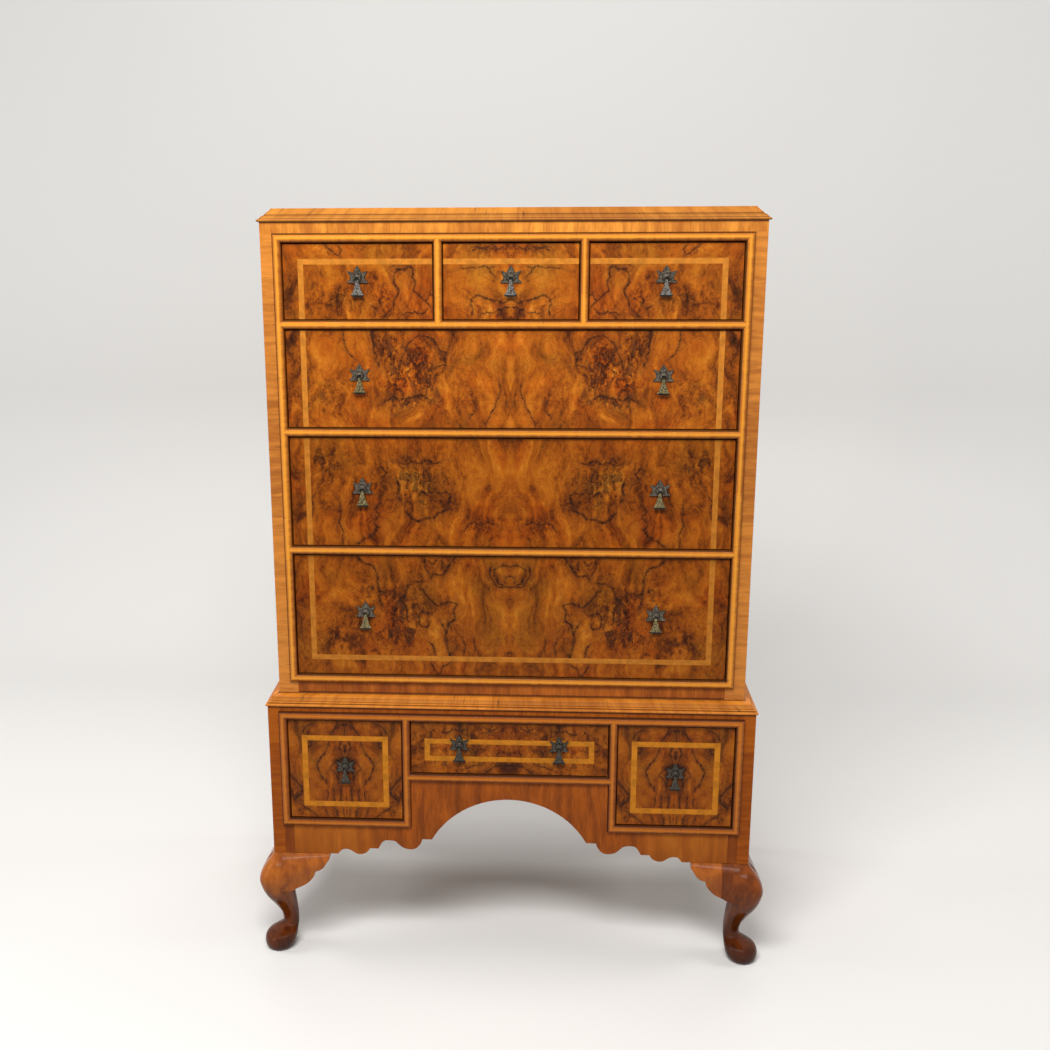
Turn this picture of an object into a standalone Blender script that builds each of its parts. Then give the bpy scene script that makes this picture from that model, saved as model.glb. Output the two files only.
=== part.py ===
"""A walnut tallboy: a case of drawers on a low stand with cabriole legs. Metres, +Z up, the front faces -Y.

The upper case holds three small drawers and three long ones, each running on a dust board. The stand holds
two deep drawers with a shallow one between them, over a shaped apron. Each drawer is a veneered front, a
tray and its cast pulls: a plate with a domed boss, and a drop that swings on a pin inside the boss.
"""

import math

import bmesh
import bpy
from mathutils import Matrix

# Widths and depths. The origin is the middle of the footprint, on the floor.
CASE_W = 0.874
STAND_W = 0.914
STAND_D = 0.460
STEP_BACK = 0.020

# Heights, from the floor up
LEG_H = 0.204
APRON_H = 0.076
DEEP_H = 0.203
SHALLOW_H = 0.105
STAND_RAIL_H = 0.026
WAIST_H = 0.021
BASE_RAIL_H = 0.038
ROW_HEIGHTS = (0.133, 0.176, 0.2035, 0.2345)
FRIEZE_H = 0.019
CORNICE_H = 0.023

# Boards and joints
SIDE_T = 0.018
STILE_T = 0.020
CASE_STILE_W = 0.037
STAND_STILE_W = 0.036
BACK_T = 0.009
APRON_T = 0.020
DUST_T = 0.009
BASE_T = 0.013
RAIL_D = 0.060
POST_FOOT = 0.028
GUIDE_H = 0.018
PARTITION_SHARE = 0.3175
DEEP_SHARE = 0.51781
GAP = 0.0003
OVERLAP = 0.004
WELD = 0.00001

# Half-round beads round every drawer opening
BEAD = 0.016
BEAD_PROUD = 0.0075
BEAD_STEPS = 6
MITRE_SHARE = 0.45

# Drawers
FRONT_T = 0.018
FRONT_SET = 0.001
SIDE_CLEAR = 0.0015
TOP_CLEAR = 0.0025
FOOT_CLEAR = 0.001
TRAY_WALL = 0.009
TRAY_FLOOR = 0.005
TRAY_SIDE_CLEAR = 0.0025
TRAY_TOP_DROP = 0.016
TRAY_BACK_CLEAR = 0.012

# Mouldings, as shares of how far they reach and how high they stand
CORNICE_REACH = 0.0175
CORNICE_SHARES = (
    (0.03, 0.0),
    (0.17, 0.02),
    (0.27, 0.17),
    (0.17, 0.33),
    (-0.23, 0.39),
    (-0.40, 0.48),
    (-0.57, 0.67),
    (-0.88, 0.83),
    (-1.0, 0.89),
    (-1.0, 1.0),
)
WAIST_LIP = 0.0035
WAIST_SHARES = (
    (0.85, 0.0),
    (0.97, 0.04),
    (1.0, 0.13),
    (0.96, 0.23),
    (0.82, 0.28),
    (0.80, 0.36),
    (0.78, 0.46),
    (0.68, 0.53),
    (0.52, 0.61),
    (0.46, 0.73),
    (0.36, 0.80),
    (0.24, 0.85),
    (0.10, 0.90),
    (0.07, 1.0),
)

# Apron outline: widths as shares of half the apron, heights above the foot of the stand
ARCH_SHARE = 0.3515
LEDGE_SHARE = 0.044
LOBE_SHARE = 0.1496
COVE_SHARE = 0.0534
NOTCH_SHARE = 0.0404
SMALL_LOBE_SHARE = 0.1473
ARCH_SPRING = 0.035
ARCH_RISE = 0.087
ARCH_STEPS = 14
LOBE_DROP = 0.022
COVE_DROP = 0.018
LOBE_SHARES = (
    (0.0, 0.0),
    (0.07, 0.48),
    (0.21, 0.90),
    (0.39, 1.0),
    (0.58, 0.88),
    (0.73, 0.55),
    (0.84, 0.27),
    (1.0, 0.18),
)
COVE_SHARES = ((0.45, 0.06), (0.72, 0.33), (0.93, 0.78), (1.0, 1.0))
SMALL_LOBE_SHARES = (
    (0.06, 0.45),
    (0.15, 0.80),
    (0.27, 1.0),
    (0.42, 0.92),
    (0.60, 0.40),
    (0.74, 0.20),
    (0.88, 0.35),
    (0.96, 0.75),
    (1.0, 1.0),
)

# Cabriole legs: each section's height, outer face, inner face and squareness
KNEE_OUT = 0.0295
LEG_BLOCK = 0.050
LEG_SIDES = 20
LEG_SECTION_SHARES = (
    (0.0, 0.58, -0.42, 2.0),
    (0.015, 0.76, -0.57, 2.0),
    (0.044, 0.85, -0.66, 2.0),
    (0.083, 0.88, -0.72, 2.0),
    (0.123, 0.82, -0.75, 2.0),
    (0.152, 0.66, -0.76, 2.0),
    (0.176, 0.32, -0.766, 2.0),
    (0.201, -0.05, -0.77, 2.0),
    (0.226, -0.22, -0.772, 2.0),
    (0.265, -0.255, -0.772, 2.0),
    (0.324, -0.175, -0.768, 2.1),
    (0.392, 0.02, -0.752, 2.2),
    (0.466, 0.29, -0.734, 2.4),
    (0.539, 0.576, -0.71, 2.6),
    (0.613, 0.79, -0.69, 2.8),
    (0.686, 0.936, -0.72, 3.0),
    (0.745, 1.0, -0.80, 3.2),
    (0.809, 0.908, -0.88, 3.5),
    (0.873, 0.66, -0.96, 4.0),
    (0.931, 0.34, -1.0, 5.0),
    (0.976, 0.12, -1.0, 6.0),
    (0.9975, 0.02, -1.0, 7.0),
)

# Ears beside the knees: distance in from the tip and depth, then how their faces swell
EAR_L = 0.109
EAR_H = 0.070
EAR_T = 0.022
EAR_SWELL_H = 0.052
EAR_TIP_SHARE = 0.30
EAR_STEPS = 6
EAR_SHARES = (
    (0.0, 0.12),
    (0.055, 0.24),
    (0.10, 0.35),
    (0.165, 0.425),
    (0.25, 0.46),
    (0.275, 0.60),
    (0.35, 0.74),
    (0.44, 0.84),
    (0.56, 0.92),
    (0.68, 1.0),
    (0.85, 1.0),
)

# Pulls: the outlines are shares of half the width and of the height above or below the pin
PLATE_HALF = 0.0185
PLATE_UP = 0.021
PLATE_DOWN = 0.0085
PLATE_T = 0.0025
PLATE_TOP_SHARES = (
    (0.70, 0.08),
    (0.78, 0.30),
    (0.97, 0.56),
    (0.70, 0.53),
    (0.42, 0.42),
    (0.30, 0.62),
    (0.16, 0.80),
    (0.0, 1.0),
)
PLATE_FOOT_SHARES = ((1.0, 1.0), (0.92, 0.62), (0.74, 0.40))
BOSS_R = 0.008
BOSS_RISE = 0.001
BOSS_SIDES = 14
BOSS_RINGS = 6
PIN_OUT = 0.0037
PIN_R = 0.0012
PIN_HALF = 0.0055
PIN_SIDES = 8
SWING_CLEAR = 0.0007
DROP_T = 0.0026
DROP_NECK_HALF = 0.0026
DROP_TOP = 0.0015
DROP_L = 0.0325
DROP_HALF = 0.0113
DROP_SHARES = (
    (0.23, 0.40),
    (0.29, 0.54),
    (0.48, 0.70),
    (0.80, 0.80),
    (1.0, 0.87),
    (0.96, 0.95),
    (0.72, 1.0),
    (0.36, 0.965),
    (0.0, 0.92),
)
PULL_RISE = 0.006
LONG_PULL_SHARE = 0.67
SHALLOW_PULL_SHARE = 0.50267

# Places that follow from the sizes above
STAND_FRONT = (KNEE_OUT - STAND_D) / 2
CASE_FRONT = STAND_FRONT + STEP_BACK
BACK = STAND_FRONT + STAND_D
POST = STAND_STILE_W
DEEP_OUTER_X = STAND_W / 2 - STAND_STILE_W
DEEP_INNER_X = DEEP_OUTER_X * (1 - DEEP_SHARE)
DEEP_LOW = LEG_H + APRON_H
DEEP_TOP = DEEP_LOW + DEEP_H
SHALLOW_LOW = DEEP_TOP - SHALLOW_H
STAND_TOP = DEEP_TOP + STAND_RAIL_H
CASE_LOW = STAND_TOP + WAIST_H
OPEN_X = CASE_W / 2 - CASE_STILE_W
PARTITION_X = OPEN_X * PARTITION_SHARE
OPEN_LOW = CASE_LOW + BASE_RAIL_H
OPEN_TOP = OPEN_LOW + sum(ROW_HEIGHTS) + BEAD * (len(ROW_HEIGHTS) - 1)
CASE_TOP = OPEN_TOP + BEAD + FRIEZE_H
PIN_Y = GAP + PLATE_T + PIN_OUT
SLOT_HALF = DROP_NECK_HALF + SWING_CLEAR
SLOT_UP = DROP_TOP + SWING_CLEAR

WALNUT = ("burr_walnut", (0.43, 0.17, 0.045, 1), 0.22, 0.0)
DARK_WALNUT = ("polished_walnut", (0.22, 0.055, 0.018, 1), 0.2, 0.0)
OAK = ("drawer_oak", (0.50, 0.34, 0.18, 1), 0.6, 0.0)
PLY = ("back_ply", (0.36, 0.22, 0.11, 1), 0.7, 0.0)
BRASS = ("antique_brass", (0.11, 0.085, 0.05, 1), 0.38, 1.0)

ALONG_X = Matrix(((0, 0, 1, 0), (1, 0, 0, 0), (0, 1, 0, 0), (0, 0, 0, 1)))
ALONG_Y = Matrix(((1, 0, 0, 0), (0, 0, -1, 0), (0, 1, 0, 0), (0, 0, 0, 1)))
ALONG_Z = Matrix.Identity(4)


def clear_scene():
    for old in list(bpy.data.objects):
        bpy.data.objects.remove(old, do_unlink=True)


def new_collection(name):
    made = bpy.data.collections.new(name)
    bpy.context.scene.collection.children.link(made)
    return made


def material(kind):
    """The Principled material of one kind of surface, made once."""
    name, colour, roughness, metallic = kind
    made = bpy.data.materials.get(name)
    if made is None:
        made = bpy.data.materials.new(name)
        made.use_nodes = True
        shader = made.node_tree.nodes["Principled BSDF"]
        shader.inputs["Base Color"].default_value = colour
        shader.inputs["Roughness"].default_value = roughness
        shader.inputs["Metallic"].default_value = metallic
    return made


def helper(name, mesh, place=None):
    """An object that only shapes another one: it is drawn as wire and left out of renders."""
    made = bpy.data.objects.new(name, mesh)
    helpers.objects.link(made)
    made.hide_render = True
    made.display_type = "WIRE"
    if place is not None:
        made.matrix_world = place
    return made


def mesh_of(bm, name):
    mesh = bpy.data.meshes.new(name)
    bm.to_mesh(mesh)
    bm.free()
    return mesh


def box(x, y, z):
    """A box between the low and high of each axis."""
    bm = bmesh.new()
    bmesh.ops.create_cube(bm, size=1)
    sizes = [high - low for low, high in (x, y, z)]
    middle = [(low + high) / 2 for low, high in (x, y, z)]
    bmesh.ops.scale(bm, vec=sizes, verts=bm.verts)
    bmesh.ops.translate(bm, vec=middle, verts=bm.verts)
    return helper("box", mesh_of(bm, "box"))


def extruded(outline, low, high, turn):
    """A flat outline carried from low to high along the axis that turn sends its thickness to."""
    curve = bpy.data.curves.new("outline", "CURVE")
    curve.dimensions = "2D"
    curve.fill_mode = "BOTH"
    curve.extrude = (high - low) / 2
    spline = curve.splines.new("POLY")
    spline.points.add(len(outline) - 1)
    for point, (across, up) in zip(spline.points, outline):
        point.co = (across, up, 0, 1)
    spline.use_cyclic_u = True
    guide = bpy.data.objects.new("outline", curve)
    helpers.objects.link(guide)
    axis = turn.to_3x3().col[2]
    guide.matrix_world = Matrix.Translation(axis * ((low + high) / 2 * sum(axis))) @ turn
    bpy.context.view_layer.update()
    graph = bpy.context.evaluated_depsgraph_get()
    mesh = bpy.data.meshes.new_from_object(guide.evaluated_get(graph))
    bm = bmesh.new()
    bm.from_mesh(mesh)
    bmesh.ops.remove_doubles(bm, verts=bm.verts, dist=WELD)
    bmesh.ops.recalc_face_normals(bm, faces=bm.faces)
    bm.to_mesh(mesh)
    bm.free()
    made = helper("outline", mesh, guide.matrix_world.copy())
    bpy.data.objects.remove(guide, do_unlink=True)
    return made


def half_round():
    """A bead's section as (across, proud) from one edge to the other."""
    turns = [math.pi * step / BEAD_STEPS for step in range(BEAD_STEPS + 1)]
    return [(-BEAD / 2 * math.cos(turn), BEAD_PROUD * math.sin(turn)) for turn in turns]


def bead_run(path, front):
    """A bead along a centre line of (x, z) points, mitred at each turn and seated in what carries it."""
    seat = BEAD / 2 - OVERLAP
    section = half_round() + [(seat, -OVERLAP), (-seat, -OVERLAP)]
    rings = []
    for i, (x, z) in enumerate(path):
        sides = []
        for near, far in ((i - 1, i), (i, i + 1)):
            if near >= 0 and far < len(path):
                run = (path[far][0] - path[near][0], path[far][1] - path[near][1])
                length = math.hypot(*run)
                sides.append((-run[1] / length, run[0] / length))
        first, last = sides[0], sides[-1]
        spread = 1 + first[0] * last[0] + first[1] * last[1]
        out = ((first[0] + last[0]) / spread, (first[1] + last[1]) / spread)
        rings.append([(x + out[0] * a, front - up, z + out[1] * a) for a, up in section])
    return lofted(rings)


def nosed(z_top, front):
    """The half-round nose of a board, as (y, z) points from its lower edge up to z_top."""
    middle = z_top - BEAD / 2
    return [(front - up, middle + across) for across, up in half_round()]


def lofted(rings):
    """A closed solid through rings of points with the same count, each ring listed the same way round."""
    bm = bmesh.new()
    loops = [[bm.verts.new(point) for point in ring] for ring in rings]
    count = len(rings[0])
    for lower, upper in zip(loops, loops[1:]):
        for i in range(count):
            j = (i + 1) % count
            bm.faces.new((lower[i], lower[j], upper[j], upper[i]))
    bm.faces.new(loops[0][::-1])
    bm.faces.new(loops[-1])
    bmesh.ops.recalc_face_normals(bm, faces=bm.faces)
    return helper("loft", mesh_of(bm, "loft"))


def moulded_board(shares, reach, z):
    """A board with one moulding worked out from the case's ends and front: reach is how far on each."""
    rings = []
    for out_share, up_share in shares:
        up = z[0] + up_share * (z[1] - z[0])
        side = CASE_W / 2 + out_share * reach[0]
        front = CASE_FRONT - out_share * reach[1]
        rings.append([(-side, front, up), (side, front, up), (side, BACK, up), (-side, BACK, up)])
    return lofted(rings)


def combine(base, others, operation):
    for other in others:
        step = base.modifiers.new(operation.lower(), "BOOLEAN")
        step.operation = operation
        step.object = other
        step.solver = "EXACT"


def node(name, kind, solids, cuts=()):
    """Makes one named piece out of helpers that overlap, less the cuts."""
    base = solids[0]
    base.name = name
    base.data.name = name
    helpers.objects.unlink(base)
    parts.objects.link(base)
    base.hide_render = False
    base.display_type = "TEXTURED"
    base.data.materials.clear()
    base.data.materials.append(material(kind))
    combine(base, solids[1:], "UNION")
    combine(base, cuts, "DIFFERENCE")
    return base


def baked(name, kind, solids, cuts=()):
    """The finished mesh of such a piece, for copies that share it."""
    base = solids[0]
    combine(base, solids[1:], "UNION")
    combine(base, cuts, "DIFFERENCE")
    bpy.context.view_layer.update()
    graph = bpy.context.evaluated_depsgraph_get()
    mesh = bpy.data.meshes.new_from_object(base.evaluated_get(graph))
    mesh.transform(base.matrix_world)
    mesh.name = name
    mesh.materials.clear()
    mesh.materials.append(material(kind))
    for used in [*solids, *cuts]:
        bpy.data.objects.remove(used, do_unlink=True)
    return mesh


def mirrored(span, side):
    """A low and high on the right, or the same on the left."""
    return span if side > 0 else (-span[1], -span[0])


def guide(side, across, along, low):
    """A strip on a side panel that a drawer runs against, standing on the board that carries the drawer."""
    return box(mirrored(across, side), along, (low + GAP, low + GUIDE_H))


def upper_side(side, name):
    """A side panel with its front stile and the bead down the edge of the openings."""
    half = CASE_W / 2
    plan = [
        (OPEN_X, CASE_FRONT),
        (half, CASE_FRONT),
        (half, BACK),
        (half - SIDE_T, BACK),
        (half - SIDE_T, CASE_FRONT + STILE_T),
        (OPEN_X, CASE_FRONT + STILE_T),
    ]
    panel = extruded([(side * x, y) for x, y in plan], CASE_LOW + GAP, CASE_TOP - GAP, ALONG_Z)
    middle = side * (OPEN_X + BEAD / 2)
    bead = bead_run([(middle, OPEN_LOW - BEAD), (middle, OPEN_TOP + BEAD)], CASE_FRONT)
    across = (OPEN_X + GAP, half - SIDE_T + OVERLAP)
    along = (CASE_FRONT + STILE_T - OVERLAP, BACK - BACK_T - GAP)
    guides = [guide(side, across, along, low) for low, _ in rows()]
    node(name, WALNUT, [panel, bead, *guides])


def notch(side, across, front, z):
    """A cutter that lets a board pass behind a stile, across the stile's width."""
    x = mirrored((across[0], across[1] + OVERLAP), side)
    return box(x, (front - BEAD, front + STILE_T + GAP), (z[0] - OVERLAP, z[1] + OVERLAP))


def case_board(z_top, thickness, front_low):
    """The solids and cuts of a board across the upper case, with a front rail between the stiles."""
    back = BACK - BACK_T - GAP
    section = nosed(z_top, CASE_FRONT)
    if front_low < z_top - BEAD:
        section.insert(0, (CASE_FRONT, front_low))
    section += [
        (back, z_top),
        (back, z_top - thickness),
        (CASE_FRONT + RAIL_D, z_top - thickness),
        (CASE_FRONT + RAIL_D, front_low),
    ]
    half = CASE_W / 2 - SIDE_T - GAP
    board = extruded(section, -half, half, ALONG_X)
    stile = (OPEN_X - GAP, half)
    cuts = [notch(side, stile, CASE_FRONT, (front_low, z_top)) for side in (-1, 1)]
    return [board], cuts


def small_drawer_frame(z_top):
    """The first dust board with the two partitions that stand on it."""
    solids, cuts = case_board(z_top, DUST_T, z_top - BEAD)
    z = (z_top - BEAD * MITRE_SHARE, OPEN_TOP - GAP)
    back = BACK - BACK_T - GAP - GAP
    for side in (-1, 1):
        x = side * PARTITION_X
        plan = [(x + across, CASE_FRONT - up) for across, up in half_round()]
        plan += [(x + BEAD / 2, back), (x - BEAD / 2, back)]
        solids.append(extruded(plan, z[0], z[1], ALONG_Z))
    node("small_drawer_frame", WALNUT, solids, cuts)


def cornice():
    """The moulded top board with the frieze rail under it, down to the bead over the small drawers."""
    reach = (CORNICE_REACH, CORNICE_REACH)
    board = moulded_board(CORNICE_SHARES, reach, (CASE_TOP, CASE_TOP + CORNICE_H))
    section = nosed(OPEN_TOP + BEAD, CASE_FRONT)
    section += [
        (CASE_FRONT, CASE_TOP + OVERLAP),
        (CASE_FRONT + STILE_T, CASE_TOP + OVERLAP),
        (CASE_FRONT + STILE_T, OPEN_TOP),
    ]
    half = OPEN_X - GAP
    node("cornice_top", WALNUT, [board, extruded(section, -half, half, ALONG_X)])


def upper_back():
    half = CASE_W / 2 - SIDE_T - GAP
    back = box((-half, half), (BACK - BACK_T, BACK), (CASE_LOW + GAP, CASE_TOP - GAP))
    node("upper_back", PLY, [back])


def waist():
    reach = ((STAND_W - CASE_W) / 2 + WAIST_LIP, STEP_BACK + WAIST_LIP)
    board = moulded_board(WAIST_SHARES, reach, (STAND_TOP, CASE_LOW))
    node("waist_moulding", WALNUT, [board])


def stand_side(side, name):
    """The side panel with its front stile, and the rear post that runs down as the back leg."""
    half = STAND_W / 2
    plan = [
        (DEEP_OUTER_X, STAND_FRONT),
        (half, STAND_FRONT),
        (half, BACK),
        (half - POST, BACK),
        (half - POST, BACK - POST),
        (half - SIDE_T, BACK - POST),
        (half - SIDE_T, STAND_FRONT + STILE_T),
        (DEEP_OUTER_X, STAND_FRONT + STILE_T),
    ]
    panel = extruded([(side * x, y) for x, y in plan], LEG_H, STAND_TOP - GAP, ALONG_Z)
    middle = side * (DEEP_OUTER_X + BEAD / 2)
    bead = bead_run([(middle, DEEP_LOW - BEAD), (middle, DEEP_TOP + BEAD)], STAND_FRONT)
    across = (DEEP_OUTER_X + GAP, half - SIDE_T + OVERLAP)
    along = (STAND_FRONT + STILE_T - OVERLAP, BACK - POST + OVERLAP)
    foot = []
    x, y = side * (half - POST / 2), BACK - POST / 2
    for reach, up in ((POST_FOOT / 2, 0), (POST / 2 - GAP, LEG_H + OVERLAP)):
        corners = ((-reach, -reach), (reach, -reach), (reach, reach), (-reach, reach))
        foot.append([(x + dx, y + dy, up) for dx, dy in corners])
    node(name, WALNUT, [panel, bead, guide(side, across, along, DEEP_LOW), lofted(foot)])


def stand_back():
    half = STAND_W / 2 - POST - GAP
    back = box((-half, half), (BACK - BACK_T, BACK), (DEEP_LOW - BEAD, STAND_TOP - GAP))
    node("stand_back", PLY, [back])


def stand_frame():
    """The top rail, the two partitions and the three boards that the stand's drawers run on."""
    outer = DEEP_OUTER_X - GAP
    inner = DEEP_INNER_X - BEAD
    wing = STAND_W / 2 - SIDE_T - GAP
    top = DEEP_TOP + OVERLAP
    right = [
        (inner, SHALLOW_LOW - BEAD),
        (inner, DEEP_LOW - BEAD),
        (wing, DEEP_LOW - BEAD),
        (wing, DEEP_LOW),
        (DEEP_INNER_X, DEEP_LOW),
        (DEEP_INNER_X, top),
        (inner, top),
        (inner, SHALLOW_LOW),
    ]
    left = [(-x, z) for x, z in right]
    boards = extruded(right + left[::-1], STAND_FRONT + GAP, BACK - BACK_T - GAP, ALONG_Y)
    rail = box((-outer, outer), (STAND_FRONT, STAND_FRONT + STILE_T), (DEEP_TOP, STAND_TOP - GAP))
    middle = inner + BEAD / 2
    tip = BEAD * MITRE_SHARE
    low = DEEP_LOW - BEAD / 2
    shelf = SHALLOW_LOW - BEAD / 2
    beads = [
        bead_run([(-outer, DEEP_TOP + BEAD / 2), (outer, DEEP_TOP + BEAD / 2)], STAND_FRONT),
        bead_run([(-inner - tip, shelf), (inner + tip, shelf)], STAND_FRONT),
    ]
    cuts = []
    for side in (-1, 1):
        run = [(side * middle, DEEP_TOP + tip), (side * middle, low), (side * outer, low)]
        beads.append(bead_run(run, STAND_FRONT))
        cuts.append(notch(side, (outer, wing), STAND_FRONT, (DEEP_LOW - BEAD, DEEP_LOW)))
        post = mirrored((STAND_W / 2 - POST - GAP, STAND_W / 2), side)
        cuts.append(box(post, (BACK - POST - GAP, BACK + GAP), (DEEP_LOW - BEAD - GAP, STAND_TOP)))
    node("stand_frame", WALNUT, [boards, rail, *beads], cuts)


def apron_half():
    """The lower edge of the apron's right half, from the crown of the arch out to the leg."""
    spring = LEG_H + ARCH_SPRING
    arch = DEEP_OUTER_X * ARCH_SHARE
    radius = (arch**2 + ARCH_RISE**2) / (2 * ARCH_RISE)
    sweep = math.asin(arch / radius)
    points = []
    for step in range(ARCH_STEPS + 1):
        turn = sweep * step / ARCH_STEPS
        points.append((radius * math.sin(turn), spring + ARCH_RISE - radius * (1 - math.cos(turn))))
    start = DEEP_OUTER_X * (ARCH_SHARE + LEDGE_SHARE)
    width = DEEP_OUTER_X * LOBE_SHARE
    points += [(start + width * u, spring - LOBE_DROP * v) for u, v in LOBE_SHARES]
    start += width
    width = DEEP_OUTER_X * COVE_SHARE
    top = points[-1][1]
    points += [(start + width * u, top - COVE_DROP * v) for u, v in COVE_SHARES]
    start += width + DEEP_OUTER_X * NOTCH_SHARE
    top -= COVE_DROP
    points.append((start, top))
    width = DEEP_OUTER_X * SMALL_LOBE_SHARE
    drop = top - LEG_H
    points += [(start + width * u, top - drop * v) for u, v in SMALL_LOBE_SHARES]
    points.append((DEEP_OUTER_X - GAP, LEG_H))
    return points


def apron():
    half = apron_half()
    inner = DEEP_INNER_X - BEAD - GAP
    crown = [
        (DEEP_OUTER_X - GAP, DEEP_LOW - BEAD - GAP),
        (inner, DEEP_LOW - BEAD - GAP),
        (inner, SHALLOW_LOW - BEAD - GAP),
    ]
    right = half[1:] + crown
    left = [(-x, z) for x, z in right]
    outline = [half[0], *right, *left[::-1]]
    board = extruded(outline, STAND_FRONT, STAND_FRONT + APRON_T, ALONG_Y)
    node("apron", WALNUT, [board])


def leg_ring(side, up, out, inside, power):
    """One level section of a leg: a rounded square between the outer and inner faces."""
    corner = STAND_W / 2
    middle = (out + inside) / 2
    half = (out - inside) / 2
    ring = []
    for step in range(LEG_SIDES):
        turn = 2 * math.pi * step / LEG_SIDES
        along = math.copysign(abs(math.cos(turn)) ** (2 / power), math.cos(turn))
        across = math.copysign(abs(math.sin(turn)) ** (2 / power), math.sin(turn))
        ring.append((side * (corner + middle + half * along), STAND_FRONT - middle - half * across, up))
    return ring


def ear(turned):
    """A bracket beside the knee, whose face swells out from under the stand as the knee does.

    turned takes a point's distance in from the stand's corner, its distance out from the stand's face and
    its height to a place, so that one ear runs along the front and the other along the side.
    """
    top = LEG_H - GAP
    rings = []
    for along_share, deep_share in EAR_SHARES:
        along = EAR_L * (1 - along_share)
        swell = EAR_TIP_SHARE + (1 - EAR_TIP_SHARE) * along_share
        ring = [turned(along, -EAR_T, top)]
        for step in range(EAR_STEPS + 1):
            down = EAR_H * deep_share * step / EAR_STEPS
            turn = math.pi / 2 * min(1, down / (EAR_SWELL_H * swell))
            ring.append(turned(along, KNEE_OUT * swell * math.sin(turn), top - down))
        ring.append(turned(along, -EAR_T, top - EAR_H * deep_share))
        rings.append(ring)
    return lofted(rings)


def cabriole_leg(side, name):
    """A front leg with its knee, pad foot and the two ears that carry the curve out under the stand."""
    rings = []
    for up_share, out_share, in_share, power in LEG_SECTION_SHARES:
        out, inside = out_share * KNEE_OUT, in_share * LEG_BLOCK
        rings.append(leg_ring(side, up_share * LEG_H, out, inside, power))
    corner = STAND_W / 2

    def along_front(along, out, up):
        return (side * (corner - along), STAND_FRONT - out, up)

    def along_side(along, out, up):
        return (side * (corner + out), STAND_FRONT + along, up)

    node(name, DARK_WALNUT, [lofted(rings), ear(along_front), ear(along_side)])


def plate_mesh():
    """A pull's plate with its domed boss, around the pin at the origin. The drawer's face is y = 0."""
    right = [(PLATE_HALF * u, -PLATE_DOWN * v) for u, v in PLATE_FOOT_SHARES]
    right += [(PLATE_HALF * u, PLATE_UP * v) for u, v in PLATE_TOP_SHARES]
    left = [(-x, z) for x, z in right[:-1]]
    face = -GAP - PLATE_T
    plate = extruded(right + left[::-1], face, -GAP, ALONG_Y)
    bm = bmesh.new()
    bmesh.ops.create_uvsphere(bm, u_segments=BOSS_SIDES, v_segments=BOSS_RINGS, radius=BOSS_R)
    bmesh.ops.bisect_plane(
        bm,
        geom=[*bm.verts, *bm.edges, *bm.faces],
        plane_co=(0, PLATE_T / 2, 0),
        plane_no=(0, 1, 0),
        clear_outer=True,
    )
    bmesh.ops.holes_fill(bm, edges=bm.edges)
    bmesh.ops.translate(bm, vec=(0, face, BOSS_RISE), verts=bm.verts)
    boss = helper("boss", mesh_of(bm, "boss"))
    clear = BOSS_R + PLATE_T
    slot = box((-SLOT_HALF, SLOT_HALF), (-PIN_Y - clear, face - GAP), (-clear, SLOT_UP))
    hole = pin(PIN_R + GAP, PIN_HALF + GAP)
    return baked("pull_plate", BRASS, [plate, boss], [slot, hole])


def pin(radius, half_length):
    bm = bmesh.new()
    bmesh.ops.create_cone(
        bm, cap_ends=True, segments=PIN_SIDES, radius1=radius, radius2=radius, depth=2 * half_length
    )
    turn = Matrix.Translation((0, -PIN_Y, 0)) @ Matrix.Rotation(math.pi / 2, 4, "Y")
    bmesh.ops.transform(bm, matrix=turn, verts=bm.verts)
    return helper("pin", mesh_of(bm, "pin"))


def drop_mesh():
    """The drop that hangs from the pin: its origin is on the pin's axis."""
    right = [(DROP_NECK_HALF, DROP_TOP)]
    right += [(DROP_HALF * u, -DROP_L * v) for u, v in DROP_SHARES]
    left = [(-x, z) for x, z in right[:-1]]
    blade = extruded(
        right + left[::-1], -PIN_Y - DROP_T / 2, -PIN_Y + DROP_T / 2, ALONG_Y
    )
    mesh = baked("pull_drop", BRASS, [blade, pin(PIN_R, PIN_HALF)])
    mesh.transform(Matrix.Translation((0, PIN_Y, 0)))
    return mesh


def placed(name, mesh, place, parent):
    made = bpy.data.objects.new(name, mesh)
    parts.objects.link(made)
    made.parent = parent
    made.location = place
    return made


def tray(name, x, y, z, runner):
    """An open drawer box, in the place of its runner."""
    outside = box(x, y, z)
    inside = box(
        (x[0] + TRAY_WALL, x[1] - TRAY_WALL),
        (y[0] + TRAY_WALL, y[1] - TRAY_WALL),
        (z[0] + TRAY_FLOOR, z[1] + TRAY_WALL),
    )
    made = node(name, OAK, [outside], [inside])
    made.parent = runner
    inside.parent = runner


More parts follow.
